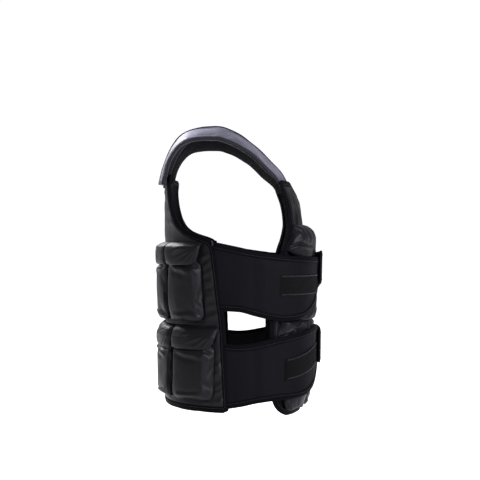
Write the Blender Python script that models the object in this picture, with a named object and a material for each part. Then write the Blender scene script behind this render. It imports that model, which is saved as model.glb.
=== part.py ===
"""A pull-over weighted vest, in the shape that it keeps on a body.

Metres, +Z up, the front towards -Y and the wearer's right towards -X. The origin lies midway between the
two shoulder straps, level with their highest undersides, where the vest sits on a pair of shoulders.

Every sewn piece follows one body form. A place on it is an arc length round the form, a height and a
stand-off, so a pocket or belt is laid out flat and lands curved.
"""

from collections import namedtuple
from functools import lru_cache
from math import cos, radians, sin

import bmesh
import bpy
import numpy as np
from mathutils import Vector

# Clearances between pieces that touch on the real vest
SEAT = 0.0006
SIDE_GAP = 0.0004

# Wall thicknesses
PANEL_WALL = 0.0050
FLAP_WALL = 0.0026
BELT_WALL = 0.0035
PATCH_WALL = 0.0012

# Edge binding: how far it reaches past the cloth that it wraps, and how proud it stands of it
BINDING_REACH = 0.0080
BINDING_PROUD = 0.0006

# Pockets and their flaps
POCKET_GROOVE = 0.0055
POCKET_CORNER_POWER = 7.0
FLAP_GROOVE = 0.0022
BACK_POCKET_DEPTH = 0.0148
FRONT_POCKET_DEPTH = 0.0212
POCKET_RIM_SHARE = 0.45
POCKET_TOP_SHARE = 0.74
FLAP_CLEARANCE = 0.0012
FLAP_END_DROOP = 0.0016

# Shoulder straps
STRAP_OUT = 0.095
STRAP_WIDTH = 0.064
STRAP_EDGE_SHARE = 0.62
STRAP_STATIONS = 22

# Cross-sections of the body form. The powers square off the back half and the front half of each one.
Section = namedtuple("Section", "height half_width back front back_power front_power")
FORM = (
    Section(-0.058, 0.182, 0.0800, -0.1235, 3.40, 2.20),
    Section(-0.088, 0.180, 0.0850, -0.1345, 3.40, 2.20),
    Section(-0.108, 0.178, 0.0855, -0.1410, 3.20, 2.20),
    Section(-0.128, 0.175, 0.0858, -0.1462, 3.00, 2.20),
    Section(-0.148, 0.171, 0.0860, -0.1492, 2.85, 2.25),
    Section(-0.173, 0.168, 0.0860, -0.1500, 2.70, 2.30),
    Section(-0.318, 0.161, 0.0860, -0.1462, 2.50, 2.50),
    Section(-0.478, 0.165, 0.0860, -0.1450, 2.50, 2.50),
)

# Outline of each panel inside its binding: half its width, along the arc, at each height
Edge = namedtuple("Edge", "height half_arc")
BACK_EDGES = (
    Edge(-0.4580, 0.2180),
    Edge(-0.4230, 0.2155),
    Edge(-0.3730, 0.2115),
    Edge(-0.3180, 0.2075),
    Edge(-0.2730, 0.2045),
    Edge(-0.2250, 0.2020),
    Edge(-0.1915, 0.1995),
    Edge(-0.1830, 0.1925),
    Edge(-0.1755, 0.1720),
    Edge(-0.1670, 0.1510),
    Edge(-0.1550, 0.1350),
    Edge(-0.1350, 0.1230),
    Edge(-0.1080, 0.1180),
    Edge(-0.0740, 0.1170),
)
FRONT_EDGES = (
    Edge(-0.4675, 0.1280),
    Edge(-0.4620, 0.1420),
    Edge(-0.4500, 0.1530),
    Edge(-0.4280, 0.1580),
    Edge(-0.3780, 0.1585),
    Edge(-0.3180, 0.1580),
    Edge(-0.2730, 0.1545),
    Edge(-0.2280, 0.1460),
    Edge(-0.1980, 0.1360),
    Edge(-0.1730, 0.1240),
    Edge(-0.1480, 0.1160),
    Edge(-0.1180, 0.1150),
    Edge(-0.0840, 0.1200),
)
COLUMN_WIDTH = 0.0155
BACK_COLUMN_REACH = 0.1980
FRONT_COLUMN_REACH = 0.1400
BACK_SCOOP = 0.010
FRONT_SCOOP = 0.018
SCOOP_REACH = 0.064
BACK_HEM_ARCH = 0.004

# Rows of pockets: the seam that a flap hangs from, the foot of the pocket, and the flap's length
PocketRow = namedtuple("PocketRow", "name side seam foot flap_length lead pitch count depth")
POCKET_ROWS = (
    PocketRow("upper", "back", -0.1830, -0.3155, 0.0370, 0.0065, 0.0745, 5, BACK_POCKET_DEPTH),
    PocketRow("lower", "back", -0.3225, -0.4460, 0.0380, 0.0150, 0.0815, 5, BACK_POCKET_DEPTH),
    PocketRow("upper", "front", -0.1620, -0.3130, 0.0460, 0.0070, 0.0600, 4, FRONT_POCKET_DEPTH),
    PocketRow("lower", "front", -0.3160, -0.4530, 0.0420, 0.0040, 0.0735, 4, FRONT_POCKET_DEPTH),
)

# The belts press the front pockets flat towards the sides: their fullness by arc from the front centre
Press = namedtuple("Press", "arc fullness")
FRONT_PRESS = (
    Press(0.000, 1.00),
    Press(0.080, 1.00),
    Press(0.110, 0.88),
    Press(0.135, 0.62),
    Press(0.150, 0.44),
)

# Belts, from the back panel's side edge round to their tab: arc from the back centre, edges and stand-off.
# The left ones lap over the ends of the right ones.
BeltRow = namedtuple("BeltRow", "arc top bottom")
BELTS = {
    ("upper", "right"): (
        BeltRow(0.2200, -0.1830, -0.2960),
        BeltRow(0.2445, -0.1920, -0.2980),
        BeltRow(0.2600, -0.1955, -0.3020),
        BeltRow(0.2820, -0.1990, -0.3080),
        BeltRow(0.3000, -0.2015, -0.3125),
        BeltRow(0.3150, -0.2035, -0.3145),
        BeltRow(0.3300, -0.2050, -0.3135),
        BeltRow(0.3450, -0.2060, -0.3105),
        BeltRow(0.3650, -0.2070, -0.3030),
        BeltRow(0.3850, -0.2075, -0.2910),
        BeltRow(0.4050, -0.2078, -0.2760),
        BeltRow(0.4250, -0.2080, -0.2640),
        BeltRow(0.4640, -0.2090, -0.2600),
        BeltRow(0.4760, -0.2130, -0.2560),
    ),
    ("lower", "right"): (
        BeltRow(0.2290, -0.3510, -0.4590),
        BeltRow(0.2445, -0.3530, -0.4560),
        BeltRow(0.2600, -0.3520, -0.4530),
        BeltRow(0.2820, -0.3480, -0.4490),
        BeltRow(0.3000, -0.3435, -0.4470),
        BeltRow(0.3150, -0.3400, -0.4455),
        BeltRow(0.3300, -0.3365, -0.4445),
        BeltRow(0.3450, -0.3335, -0.4430),
        BeltRow(0.3650, -0.3300, -0.4380),
        BeltRow(0.3850, -0.3275, -0.4290),
        BeltRow(0.4050, -0.3265, -0.4160),
        BeltRow(0.4250, -0.3270, -0.4030),
        BeltRow(0.4640, -0.3290, -0.3940),
        BeltRow(0.4760, -0.3330, -0.3900),
    ),
    ("upper", "left"): (
        BeltRow(0.2200, -0.1830, -0.2960),
        BeltRow(0.2445, -0.1920, -0.2980),
        BeltRow(0.2600, -0.1955, -0.3020),
        BeltRow(0.2820, -0.1990, -0.3080),
        BeltRow(0.3000, -0.2015, -0.3125),
        BeltRow(0.3150, -0.2030, -0.3145),
        BeltRow(0.3300, -0.2038, -0.3135),
        BeltRow(0.3450, -0.2040, -0.3100),
        BeltRow(0.3650, -0.2035, -0.3020),
        BeltRow(0.3850, -0.2025, -0.2910),
        BeltRow(0.4100, -0.2010, -0.2770),
        BeltRow(0.4300, -0.1995, -0.2670),
        BeltRow(0.4450, -0.1985, -0.2610),
        BeltRow(0.5060, -0.1965, -0.2540),
        BeltRow(0.5180, -0.2005, -0.2500),
    ),
    ("lower", "left"): (
        BeltRow(0.2290, -0.3510, -0.4590),
        BeltRow(0.2445, -0.3530, -0.4560),
        BeltRow(0.2600, -0.3520, -0.4530),
        BeltRow(0.2820, -0.3480, -0.4490),
        BeltRow(0.3000, -0.3435, -0.4470),
        BeltRow(0.3150, -0.3400, -0.4455),
        BeltRow(0.3300, -0.3370, -0.4445),
        BeltRow(0.3450, -0.3345, -0.4430),
        BeltRow(0.3650, -0.3325, -0.4380),
        BeltRow(0.3850, -0.3315, -0.4290),
        BeltRow(0.4100, -0.3315, -0.4140),
        BeltRow(0.4300, -0.3320, -0.4045),
        BeltRow(0.4450, -0.3325, -0.3995),
        BeltRow(0.5060, -0.3340, -0.3940),
        BeltRow(0.5180, -0.3380, -0.3900),
    ),
}
BELT_GIRTH = 0.466
BELT_STEP = 0.0150
BELT_SEAM_GAP = 0.0007

# How far a belt stands off the form: flat on the body at the side, then out over the front pockets.
# The left ones rise again over the right ones' loop patches.
Rise = namedtuple("Rise", "arc standoff")
BELT_RISE = (
    Rise(0.2000, 0.0012),
    Rise(0.2650, 0.0014),
    Rise(0.2840, 0.0048),
    Rise(0.2960, 0.0072),
    Rise(0.3100, 0.0125),
    Rise(0.3225, 0.0190),
    Rise(0.3330, 0.0230),
    Rise(0.3450, 0.0258),
    Rise(0.3600, 0.0277),
    Rise(0.3850, 0.0292),
    Rise(0.4100, 0.0296),
    Rise(0.5200, 0.0296),
)
LAP_RISE = (
    Rise(0.2000, 0.0000),
    Rise(0.4080, 0.0000),
    Rise(0.4400, 0.0061),
    Rise(0.5200, 0.0061),
)

# Loop patches sewn outside the right belts, which the left belts' tabs press on to
PatchRow = namedtuple("PatchRow", "arc top bottom")
PATCHES = {
    "upper": (
        PatchRow(0.3070, -0.2365, -0.2720),
        PatchRow(0.3450, -0.2365, -0.2720),
        PatchRow(0.3850, -0.2365, -0.2715),
        PatchRow(0.4020, -0.2365, -0.2680),
    ),
    "lower": (
        PatchRow(0.3150, -0.3780, -0.4140),
        PatchRow(0.3450, -0.3700, -0.4070),
        PatchRow(0.3850, -0.3580, -0.3955),
        PatchRow(0.4020, -0.3535, -0.3910),
    ),
}

# Path of a strap's underside from back to front, its sideways slope, its thickness and its place
StrapRow = namedtuple("StrapRow", "y z slope_deg thickness")
STRAP = (
    StrapRow(0.0870, -0.0840, 9.0, 0.0090),
    StrapRow(0.0833, -0.0650, 8.5, 0.0090),
    StrapRow(0.0785, -0.0484, 7.5, 0.0090),
    StrapRow(0.0661, -0.0239, 11.0, 0.0092),
    StrapRow(0.0501, -0.0080, 17.5, 0.0095),
    StrapRow(0.0354, -0.0030, 21.0, 0.0095),
    StrapRow(0.0158, -0.0003, 23.5, 0.0095),
    StrapRow(-0.0030, 0.0000, 24.5, 0.0095),
    StrapRow(-0.0204, -0.0052, 23.5, 0.0095),
    StrapRow(-0.0350, -0.0119, 21.5, 0.0095),
    StrapRow(-0.0486, -0.0213, 19.0, 0.0095),
    StrapRow(-0.0640, -0.0325, 17.0, 0.0095),
    StrapRow(-0.0882, -0.0568, 16.0, 0.0095),
    StrapRow(-0.1015, -0.0700, 17.0, 0.0085),
    StrapRow(-0.1102, -0.0815, 18.0, 0.0060),
    StrapRow(-0.1149, -0.0960, 19.0, 0.0048),
)

CLOTHS = {
    "pocket_cloth": {"colour": (0.016, 0.016, 0.018), "roughness": 0.52},
    "panel_cloth": {"colour": (0.014, 0.014, 0.016), "roughness": 0.58},
    "strap_cloth": {"colour": (0.020, 0.020, 0.024), "roughness": 0.45},
    "belt_neoprene": {"colour": (0.012, 0.012, 0.014), "roughness": 0.78},
    "edge_binding": {"colour": (0.008, 0.008, 0.010), "roughness": 0.65},
    "loop_fabric": {"colour": (0.009, 0.009, 0.009), "roughness": 0.95},
}


def eased(rows, column, at):
    """A column's value at a place along a table, by cubics that never pass the rows' own values."""
    places = [row[0] for row in rows]
    values = [getattr(row, column) for row in rows]
    if places[0] > places[-1]:
        places, values = places[::-1], values[::-1]
    at = min(max(at, places[0]), places[-1])
    steps = np.diff(places)
    slopes = np.diff(values) / steps
    ends = [slopes[0], *[_shared_slope(a, b) for a, b in zip(slopes, slopes[1:])], slopes[-1]]
    i = min(int(np.searchsorted(places, at, side="right")) - 1, len(steps) - 1)
    t = (at - places[i]) / steps[i]
    rise = steps[i]
    return (
        (2 * t**3 - 3 * t**2 + 1) * values[i]
        + (t**3 - 2 * t**2 + t) * rise * ends[i]
        + (3 * t**2 - 2 * t**3) * values[i + 1]
        + (t**3 - t**2) * rise * ends[i + 1]
    )


def _shared_slope(before, after):
    """The slope at a row between two others, level where they turn back."""
    return 0.0 if before * after <= 0 else 2 * before * after / (before + after)


@lru_cache(maxsize=None)
def half_section(height):
    """Half of the form at a height, from the back centre round the left side to the front centre:
    points, outward directions and arc lengths."""
    rows = FORM[::-1]
    heights = [row.height for row in rows]
    size = {name: np.interp(height, heights, [getattr(row, name) for row in rows]) for name in Section._fields}
    middle = (size["back"] + size["front"]) / 2
    depth = (size["back"] - size["front"]) / 2
    share = np.linspace(0, 1, 160) ** 1.5
    turn = share * np.pi / 2
    halves = []
    for power, way in ((size["back_power"], 1), (size["front_power"], -1)):
        x = size["half_width"] * np.sin(turn) ** (2 / power)
        y = middle + way * depth * np.abs(np.cos(turn)) ** (2 / power)
        halves.append(np.column_stack([x, y]))
    points = np.vstack([halves[0], halves[1][-2::-1]])
    arcs = np.concatenate([[0], np.cumsum(np.linalg.norm(np.diff(points, axis=0), axis=1))])
    along = np.gradient(points, arcs, axis=0)
    outward = np.column_stack([-along[:, 1], along[:, 0]])
    outward /= np.linalg.norm(outward, axis=1)[:, None]
    return points, outward, arcs


def half_girth(height):
    return half_section(round(height, 4))[2][-1]


def on_form(arc, height, standoff):
    """The point at an arc length from the back centre, positive to the wearer's left, standing off the form."""
    points, outward, arcs = half_section(round(height, 4))
    way = 1 if arc >= 0 else -1
    reach = abs(arc)
    if reach > arcs[-1]:
        reach, way = 2 * arcs[-1] - reach, -way
    x, y = (np.interp(reach, arcs, points[:, i]) for i in (0, 1))
    out_x, out_y = (np.interp(reach, arcs, outward[:, i]) for i in (0, 1))
    return Vector((way * (x + out_x * standoff), y + out_y * standoff, height))


def on_front(arc, height, standoff):
    """The same, with the arc length taken from the front centre, positive to the wearer's left."""
    return on_form(half_girth(height) - arc, height, standoff)


ON_SIDE = {"back": on_form, "front": on_front}


def closed_grid(name, lower, upper, cloth):
    """A solid between two grids of points with as many rows and columns as each other."""
    bm = bmesh.new()
    sheets = [[[bm.verts.new(p) for p in row] for row in grid] for grid in (lower, upper)]
    rows, columns = len(lower), len(lower[0])
    for sheet in sheets:
        for i in range(rows - 1):
            for j in range(columns - 1):
                bm.faces.new((sheet[i][j], sheet[i][j + 1], sheet[i + 1][j + 1], sheet[i + 1][j]))
    border = border_of(rows, columns)
    for (i, j), (m, n) in zip(border, border[1:] + border[:1]):
        bm.faces.new((sheets[0][i][j], sheets[0][m][n], sheets[1][m][n], sheets[1][i][j]))
    return finished(name, bm, cloth)


def border_of(rows, columns):
    """The grid places round the edge, in order."""
    return (
        [(0, j) for j in range(columns - 1)]
        + [(i, columns - 1) for i in range(rows - 1)]
        + [(rows - 1, j) for j in range(columns - 1, 0, -1)]
        + [(i, 0) for i in range(rows - 1, 0, -1)]
    )


def bridged_rings(name, rings, closed, cloth):
    """A solid swept through rings of points, joined end to end or capped."""
    bm = bmesh.new()
    loops = [[bm.verts.new(p) for p in ring] for ring in rings]
    pairs = list(zip(loops, loops[1:] + loops[:1])) if closed else list(zip(loops, loops[1:]))
    for near, far in pairs:
        for i in range(len(near)):
            k = (i + 1) % len(near)
            bm.faces.new((near[i], near[k], far[k], far[i]))
    if not closed:
        bm.faces.new(loops[0])
        bm.faces.new(loops[-1])
    return finished(name, bm, cloth)


def finished(name, bm, cloth):
    """The object for a closed mesh, with its faces pointing out and its soft edges shaded smooth."""
    bmesh.ops.recalc_face_normals(bm, faces=bm.faces[:])
    if bm.calc_volume(signed=True) < 0:
        bmesh.ops.reverse_faces(bm, faces=bm.faces[:])
    mesh = bpy.data.meshes.new(name)
    bm.to_mesh(mesh)
    bm.free()
    mesh.shade_smooth()
    mesh.set_sharp_from_angle(angle=radians(40))
    mesh.materials.append(MATERIALS[cloth])
    made = bpy.data.objects.new(name, mesh)
    bpy.context.scene.collection.objects.link(made)
    return made


def binding_rings(outline, standoff, wall, place, closed):
    """Rings of an edge binding round an outline of (arc, height) points, standing proud of the wall both ways.
    One that isn't closed ends upright."""
    last = len(outline) - 1
    rings = []
    for i, here in enumerate(outline):
        if closed or 0 < i < last:
            out = mitred(outline[i - 1], here, outline[(i + 1) % (last + 1)])
        else:
            out = Vector((0, 1 if i else -1))
        near = here + out * SIDE_GAP
        far = here + out * BINDING_REACH
        off = standoff[i] if isinstance(standoff, list) else standoff
        low, high = off - BINDING_PROUD, off + wall + BINDING_PROUD
        ease = 0.2 * (high - low)
        corners = ((near, low), (near, high), (far, high - ease), (far, low + ease))
        rings.append([place(p.x, p.y, h) for p, h in corners])
    return rings


def mitred(before, here, after):
    """The offset direction at a corner of a flat outline that runs anticlockwise, long enough for a full mitre."""
    outs = [Vector((side.y, -side.x)).normalized() for side in (here - before, after - here)]
    return (outs[0] + outs[1]) / (1 + outs[0].dot(outs[1]))


def panel_layout(edges, reach, scoop, hem_arch):
    """The (arc, height) grid of a panel's cloth, from the hem up to the scooped neckline."""
    columns = round(reach / COLUMN_WIDTH)
    scoop_from = edges[-3].height
    scoop_over = edges[-1].height - scoop_from
    rows = []
    for height, half in edges:
        lift = max(0.0, (height - scoop_from) / scoop_over)
        inner = min(reach, half - 0.006)
        arcs = [-half, *[inner * j / columns for j in range(-columns, columns + 1)], half]
        dips = [scoop * max(0, 1 - abs(arc / SCOOP_REACH) ** 2.5) * lift for arc in arcs]
        rows.append([Vector((arc, height - dip)) for arc, dip in zip(arcs, dips)])
    for spot in rows[0]:
        spot.y += hem_arch * (1 - (spot.x / edges[0].half_arc) ** 2)
    return rows


def make_panel(name, edges, reach, scoop, hem_arch, place):
    layout = panel_layout(edges, reach, scoop, hem_arch)
    lower = [[place(p.x, p.y, 0.0) for p in row] for row in layout]
    upper = [[place(p.x, p.y, PANEL_WALL) for p in row] for row in layout]
    closed_grid(name, lower, upper, "panel_cloth")
    outline = [layout[i][j] for i, j in border_of(len(layout), len(layout[0]))]
    rings = binding_rings(outline, 0.0, PANEL_WALL, place, closed=True)
    bridged_rings(f"{name}_binding", rings, True, "edge_binding")


def rounded(u, v):
    """A place in a square moved into the same square with rounded corners."""
    reach = max(abs(u), abs(v))
    if reach == 0:
        return u, v
    spread = (abs(u) ** POCKET_CORNER_POWER + abs(v) ** POCKET_CORNER_POWER) ** (1 / POCKET_CORNER_POWER)
    return u * reach / spread, v * reach / spread


def press(row, arc):
    """How full a pocket or flap stands at an arc."""
    return eased(FRONT_PRESS, "fullness", abs(arc)) if row.side == "front" else 1.0


POCKET_ACROSS = (-1.0, -0.90, -0.45, 0.0, 0.45, 0.90, 1.0)


def make_pocket(name, row, centre):
    """A pocket with its weight in it, as one boxy solid on the panel's face, lower under its flap."""
    place = ON_SIDE[row.side]
    half_width = (row.pitch - POCKET_GROOVE) / 2
    top = row.seam - row.lead
    half_height = (top - row.foot) / 2
    middle = (top + row.foot) / 2
    flap_end = (row.seam - row.flap_length - middle) / half_height
    ups = (
        (-1.0, POCKET_RIM_SHARE),
        (-0.92, 0.97),
        (flap_end - 0.26, 1.00),
        (flap_end - 0.02, POCKET_TOP_SHARE),
        (1.0, POCKET_TOP_SHARE * POCKET_RIM_SHARE),
    )
    base = PANEL_WALL + SEAT
    lower, upper = [], []
    for v, share in ups:
        flat = [rounded(u, v) for u in POCKET_ACROSS]
        spots = [(centre + a * half_width, middle + b * half_height) for a, b in flat]
        rises = [
            row.depth * press(row, arc) * (min(share, POCKET_RIM_SHARE) if abs(u) == 1 else share)
            for u, (arc, _) in zip(POCKET_ACROSS, spots)
        ]
        lower.append([place(arc, height, base) for arc, height in spots])
        upper.append([place(arc, height, base + rise) for (arc, height), rise in zip(spots, rises)])
    closed_grid(name, lower, upper, "pocket_cloth")


def flap_profile(row):
    """A flap's inner face as (height, rise) pairs, from its seam out over the pocket and down it."""
    full = row.depth * POCKET_TOP_SHARE + FLAP_CLEARANCE
    end = row.seam - row.flap_length
    return (
        (row.seam, 0.0),
        (row.seam - 0.25 * row.lead, 0.45 * full),
        (row.seam - 0.95 * row.lead, full - 0.0008),
        (row.seam - 0.50 * row.flap_length, full + 0.0014),
        (end, full + 0.0020),
    )


FLAP_ACROSS = (-1.0, -0.6, -0.2, 0.2, 0.6, 1.0)


def make_flap(name, row, centre):
    """A padded flap that hangs from its seam over the mouth of a pocket."""
    place = ON_SIDE[row.side]
    profile = [Vector(pair) for pair in flap_profile(row)]
    lower, upper = [], []
    for i, spot in enumerate(profile):
        along = profile[min(i + 1, len(profile) - 1)] - profile[max(i - 1, 0)]
        out = Vector((-along.y, along.x)).normalized()
        if out.y < 0:
            out = -out
        if i == 0:
            out = Vector((1.0, 0.35)).normalized()
        outer = spot + out * FLAP_WALL
        for grid, point in ((lower, spot), (upper, outer)):
            grid.append([flap_point(place, row, centre, u, point, i) for u in FLAP_ACROSS])
    closed_grid(name, lower, upper, "pocket_cloth")


def flap_point(place, row, centre, u, point, place_in_profile):
    arc = centre + u * (row.pitch - FLAP_GROOVE) / 2
    droop = FLAP_END_DROOP * u**4 if place_in_profile >= 2 else 0.0
    return place(arc, point.x, PANEL_WALL + SEAT + (point.y - droop) * press(row, arc))


def make_pockets(row):
    first = -(row.count - 1) / 2
    for k in range(row.count):
        centre = (first + k) * row.pitch
        make_pocket(f"{row.side}_pocket_{row.name}_{k + 1}", row, centre)
        make_flap(f"{row.side}_flap_{row.name}_{k + 1}", row, centre)


def belt_place(way):
    """Places a point on a belt's own side, with arcs scaled so that every height reaches the front together."""

    def place(arc, height, standoff):
        return on_form(way * arc * half_girth(height) / BELT_GIRTH, height, standoff)

    return place


def back_edge_arc(height):
    """Where the back panel's binding ends at a height, in a belt's arc lengths."""
    heights, arcs = zip(*BACK_EDGES)
    edge = np.interp(height, heights, arcs) + BINDING_REACH + BELT_SEAM_GAP
    return edge * BELT_GIRTH / half_girth(height)


BeltStation = namedtuple("BeltStation", "arc top bottom standoff")


def belt_stations(level, side):
    """A belt's rows, eased to short steps and kept inside its binding."""
    table = BELTS[level, side]
    last = table[-1].arc - BINDING_REACH
    steps = round((last - table[0].arc) / BELT_STEP)
    arcs = [table[0].arc + (last - table[0].arc) * k / steps for k in range(steps + 1)]
    lap = 1 if side == "left" else 0
    return [
        BeltStation(
            arc,
            eased(table, "top", arc) - BINDING_REACH,
            eased(table, "bottom", arc) + BINDING_REACH,
            eased(BELT_RISE, "standoff", arc) + lap * eased(LAP_RISE, "standoff", arc),
        )
        for arc in arcs
    ]


def belt_edges(stations):
    """The flat bottom and top edges of a belt's cloth, which starts along the back panel's side."""
    bottom = [Vector((row.arc, row.bottom)) for row in stations]
    top = [Vector((row.arc, row.top)) for row in stations]
    bottom[0].x = back_edge_arc(bottom[0].y - BINDING_REACH)
    top[0].x = back_edge_arc(top[0].y)
    return bottom, top


def make_belt(level, side):
    place = belt_place(1 if side == "left" else -1)
    stations = belt_stations(level, side)
    bottom, top = belt_edges(stations)
    offs = [row.standoff for row in stations]
    grids = [
        [[place(spot.x, spot.y, off + lift) for spot, off in zip(edge, offs)] for edge in (bottom, top)]
        for lift in (0.0, BELT_WALL)
    ]
    name = f"belt_{level}_{side}"
    closed_grid(name, *grids, "belt_neoprene")
    rings = binding_rings(bottom + top[::-1], offs + offs[::-1], BELT_WALL, place, closed=False)
    bridged_rings(f"{name}_binding", rings, False, "edge_binding")


def on_belt(stations, sides, table, edge, arc):
    """A patch's corner on the facets between a belt's bottom and top edges."""
    places = [s.arc for s in stations]
    low, high = (Vector([np.interp(arc, places, [p[i] for p in side]) for i in range(3)]) for side in sides)
    return low.lerp(high, (eased(table, edge, arc) - low.z) / (high.z - low.z))


def make_patch(level):
    """A loop patch on the outside of a right belt, which bends where the belt does."""
    place = belt_place(-1)
    table = PATCHES[level]
    stations = belt_stations(level, "right")
    bottom, top = belt_edges(stations)
    inside = [s.arc for s in stations if table[0].arc + 0.003 < s.arc < table[-1].arc - 0.003]
    arcs = [table[0].arc, *inside, table[-1].arc]
    base = BELT_WALL + SEAT
    grids = []
    for lift in (base, base + PATCH_WALL):
        sides = [
            [place(spot.x, spot.y, s.standoff + lift) for spot, s in zip(edge, stations)] for edge in (bottom, top)
        ]
        grids.append([[on_belt(stations, sides, table, edge, arc) for arc in arcs] for edge in ("bottom", "top")])
    closed_grid(f"loop_patch_{level}_right", *grids, "loop_fabric")


def make_strap(side):
    """A padded shoulder strap, swept from the back over the shoulder to the front."""
    way = 1 if side == "left" else -1
    travel = np.concatenate([
        [0], np.cumsum([np.hypot(b.y - a.y, b.z - a.z) for a, b in zip(STRAP, STRAP[1:])])
    ])
    Station = namedtuple("Station", ("at",) + StrapRow._fields)
    table = [Station(at, *row) for at, row in zip(travel, STRAP)]
    across = (-1.0, -0.75, 0.0, 0.75, 1.0)
    lower, upper = [], []
    for k in range(STRAP_STATIONS + 1):
        at = travel[-1] * k / STRAP_STATIONS
        here = strap_spot(table, at)
        ahead = strap_spot(table, min(at + 0.002, travel[-1])) - strap_spot(table, max(at - 0.002, 0))
        ahead.normalize()
        out = Vector((0, ahead.z, -ahead.y))
        slope = radians(eased(table, "slope_deg", at))
        sideways = Vector((way, 0, 0))
        wide = sideways * cos(slope) - out * sin(slope)
        up = out * cos(slope) + sideways * sin(slope)
        thick = eased(table, "thickness", at)
        middle = here + sideways * STRAP_OUT
        under = [middle + wide * (v * STRAP_WIDTH / 2) for v in across]
        shares = [STRAP_EDGE_SHARE if abs(v) == 1 else 1.0 for v in across]
        lower.append([p + up * thick * (1 - share) / 2 for p, share in zip(under, shares)])
        upper.append([p + up * thick * (1 + share) / 2 for p, share in zip(under, shares)])
    closed_grid(f"shoulder_strap_{side}", lower, upper, "strap_cloth")


def strap_spot(table, at):
    return Vector((0, eased(table, "y", at), eased(table, "z", at)))


def make_material(name, colour, roughness):
    material = bpy.data.materials.new(name)
    material.use_nodes = True
    shader = material.node_tree.nodes["Principled BSDF"]
    shader.inputs["Base Color"].default_value = (*colour, 1)
    shader.inputs["Roughness"].default_value = roughness
    shader.inputs["Metallic"].default_value = 0.0
    return material


for old in list(bpy.data.objects):
    bpy.data.objects.remove(old)
MATERIALS = {name: make_material(name, **look) for name, look in CLOTHS.items()}

make_panel("back_panel", BACK_EDGES, BACK_COLUMN_REACH, BACK_SCOOP, BACK_HEM_ARCH, on_form)
make_panel("front_panel", FRONT_EDGES, FRONT_COLUMN_REACH, FRONT_SCOOP, 0.0, on_front)
for pocket_row in POCKET_ROWS:
    make_pockets(pocket_row)
for belt_level, belt_side in BELTS:
    make_belt(belt_level, belt_side)
for patch_level in PATCHES:
    make_patch(patch_level)
for strap_side in ("left", "right"):
    make_strap(strap_side)
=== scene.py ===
"""Looks of a pull-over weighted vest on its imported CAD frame.

Every sewn piece is laid out flat, as (arc, height, rise), and then wrapped on to one body form. The pockets
and the shoulder straps are padded pieces whose cloth is simulated flat before it is wrapped.
"""

from collections import namedtuple
from math import radians

import bmesh
import bpy
import numpy as np
from bpy.props import FloatProperty, FloatVectorProperty, PointerProperty
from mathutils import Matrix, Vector


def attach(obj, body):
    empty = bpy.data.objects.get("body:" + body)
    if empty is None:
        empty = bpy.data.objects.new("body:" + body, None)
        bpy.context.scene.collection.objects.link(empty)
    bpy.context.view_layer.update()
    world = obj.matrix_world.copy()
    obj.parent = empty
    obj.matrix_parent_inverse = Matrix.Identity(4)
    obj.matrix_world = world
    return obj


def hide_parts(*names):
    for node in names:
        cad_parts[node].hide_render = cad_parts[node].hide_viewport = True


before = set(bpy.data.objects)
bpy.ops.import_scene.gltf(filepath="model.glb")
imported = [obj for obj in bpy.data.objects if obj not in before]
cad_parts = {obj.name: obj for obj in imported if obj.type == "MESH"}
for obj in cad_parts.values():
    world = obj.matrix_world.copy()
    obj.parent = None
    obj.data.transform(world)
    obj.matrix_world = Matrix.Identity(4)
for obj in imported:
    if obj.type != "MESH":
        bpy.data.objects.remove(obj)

bl_info = {
    "name": "Weighted vest",
    "version": (1, 0, 0),
    "blender": (4, 5, 0),
    "location": "3D Viewport > Sidebar > Vest",
    "description": "Builds a pull-over weighted vest with padded pockets, straps and neoprene belts",
    "category": "Add Mesh",
}

BODY = "root"

# Sizes that follow the CAD frame

PANEL_WALL = 0.0050
BELT_WALL = 0.0035
BINDING_REACH = 0.0080
BELT_GIRTH = 0.466
SEWN_UNDER = 0.0040
SEAT = 0.0006

# Body form: height, half width, back, front, squareness of the back half and of the front half
FORM = np.array((
    (-0.478, 0.165, 0.0860, -0.1450, 2.50, 2.50),
    (-0.318, 0.161, 0.0860, -0.1462, 2.50, 2.50),
    (-0.173, 0.168, 0.0860, -0.1500, 2.70, 2.30),
    (-0.148, 0.171, 0.0860, -0.1492, 2.85, 2.25),
    (-0.128, 0.175, 0.0858, -0.1462, 3.00, 2.20),
    (-0.108, 0.178, 0.0855, -0.1410, 3.20, 2.20),
    (-0.088, 0.180, 0.0850, -0.1345, 3.40, 2.20),
    (-0.058, 0.182, 0.0800, -0.1235, 3.40, 2.20),
))

# Outlines of the panels inside their binding: height and half the width there
BACK_EDGES = np.array((
    (-0.4580, 0.2180), (-0.4230, 0.2155), (-0.3730, 0.2115), (-0.3180, 0.2075), (-0.2730, 0.2045),
    (-0.2250, 0.2020), (-0.1915, 0.1995), (-0.1830, 0.1925), (-0.1755, 0.1720), (-0.1670, 0.1510),
    (-0.1550, 0.1350), (-0.1350, 0.1230), (-0.1080, 0.1180), (-0.0740, 0.1170),
))
FRONT_EDGES = np.array((
    (-0.4675, 0.1280), (-0.4620, 0.1420), (-0.4500, 0.1530), (-0.4280, 0.1580), (-0.3780, 0.1585),
    (-0.3180, 0.1580), (-0.2730, 0.1545), (-0.2280, 0.1460), (-0.1980, 0.1360), (-0.1730, 0.1240),
    (-0.1480, 0.1160), (-0.1180, 0.1150), (-0.0840, 0.1200),
))
PanelShape = namedtuple("PanelShape", "edges scoop hem_arch")
PANELS = {"back": PanelShape(BACK_EDGES, 0.010, 0.004), "front": PanelShape(FRONT_EDGES, 0.018, 0.0)}
SCOOP_REACH = 0.064

POCKET_GROOVE = 0.0055
FLAP_GROOVE = 0.0022
FLAP_OVER_SHARE = 0.74


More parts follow.
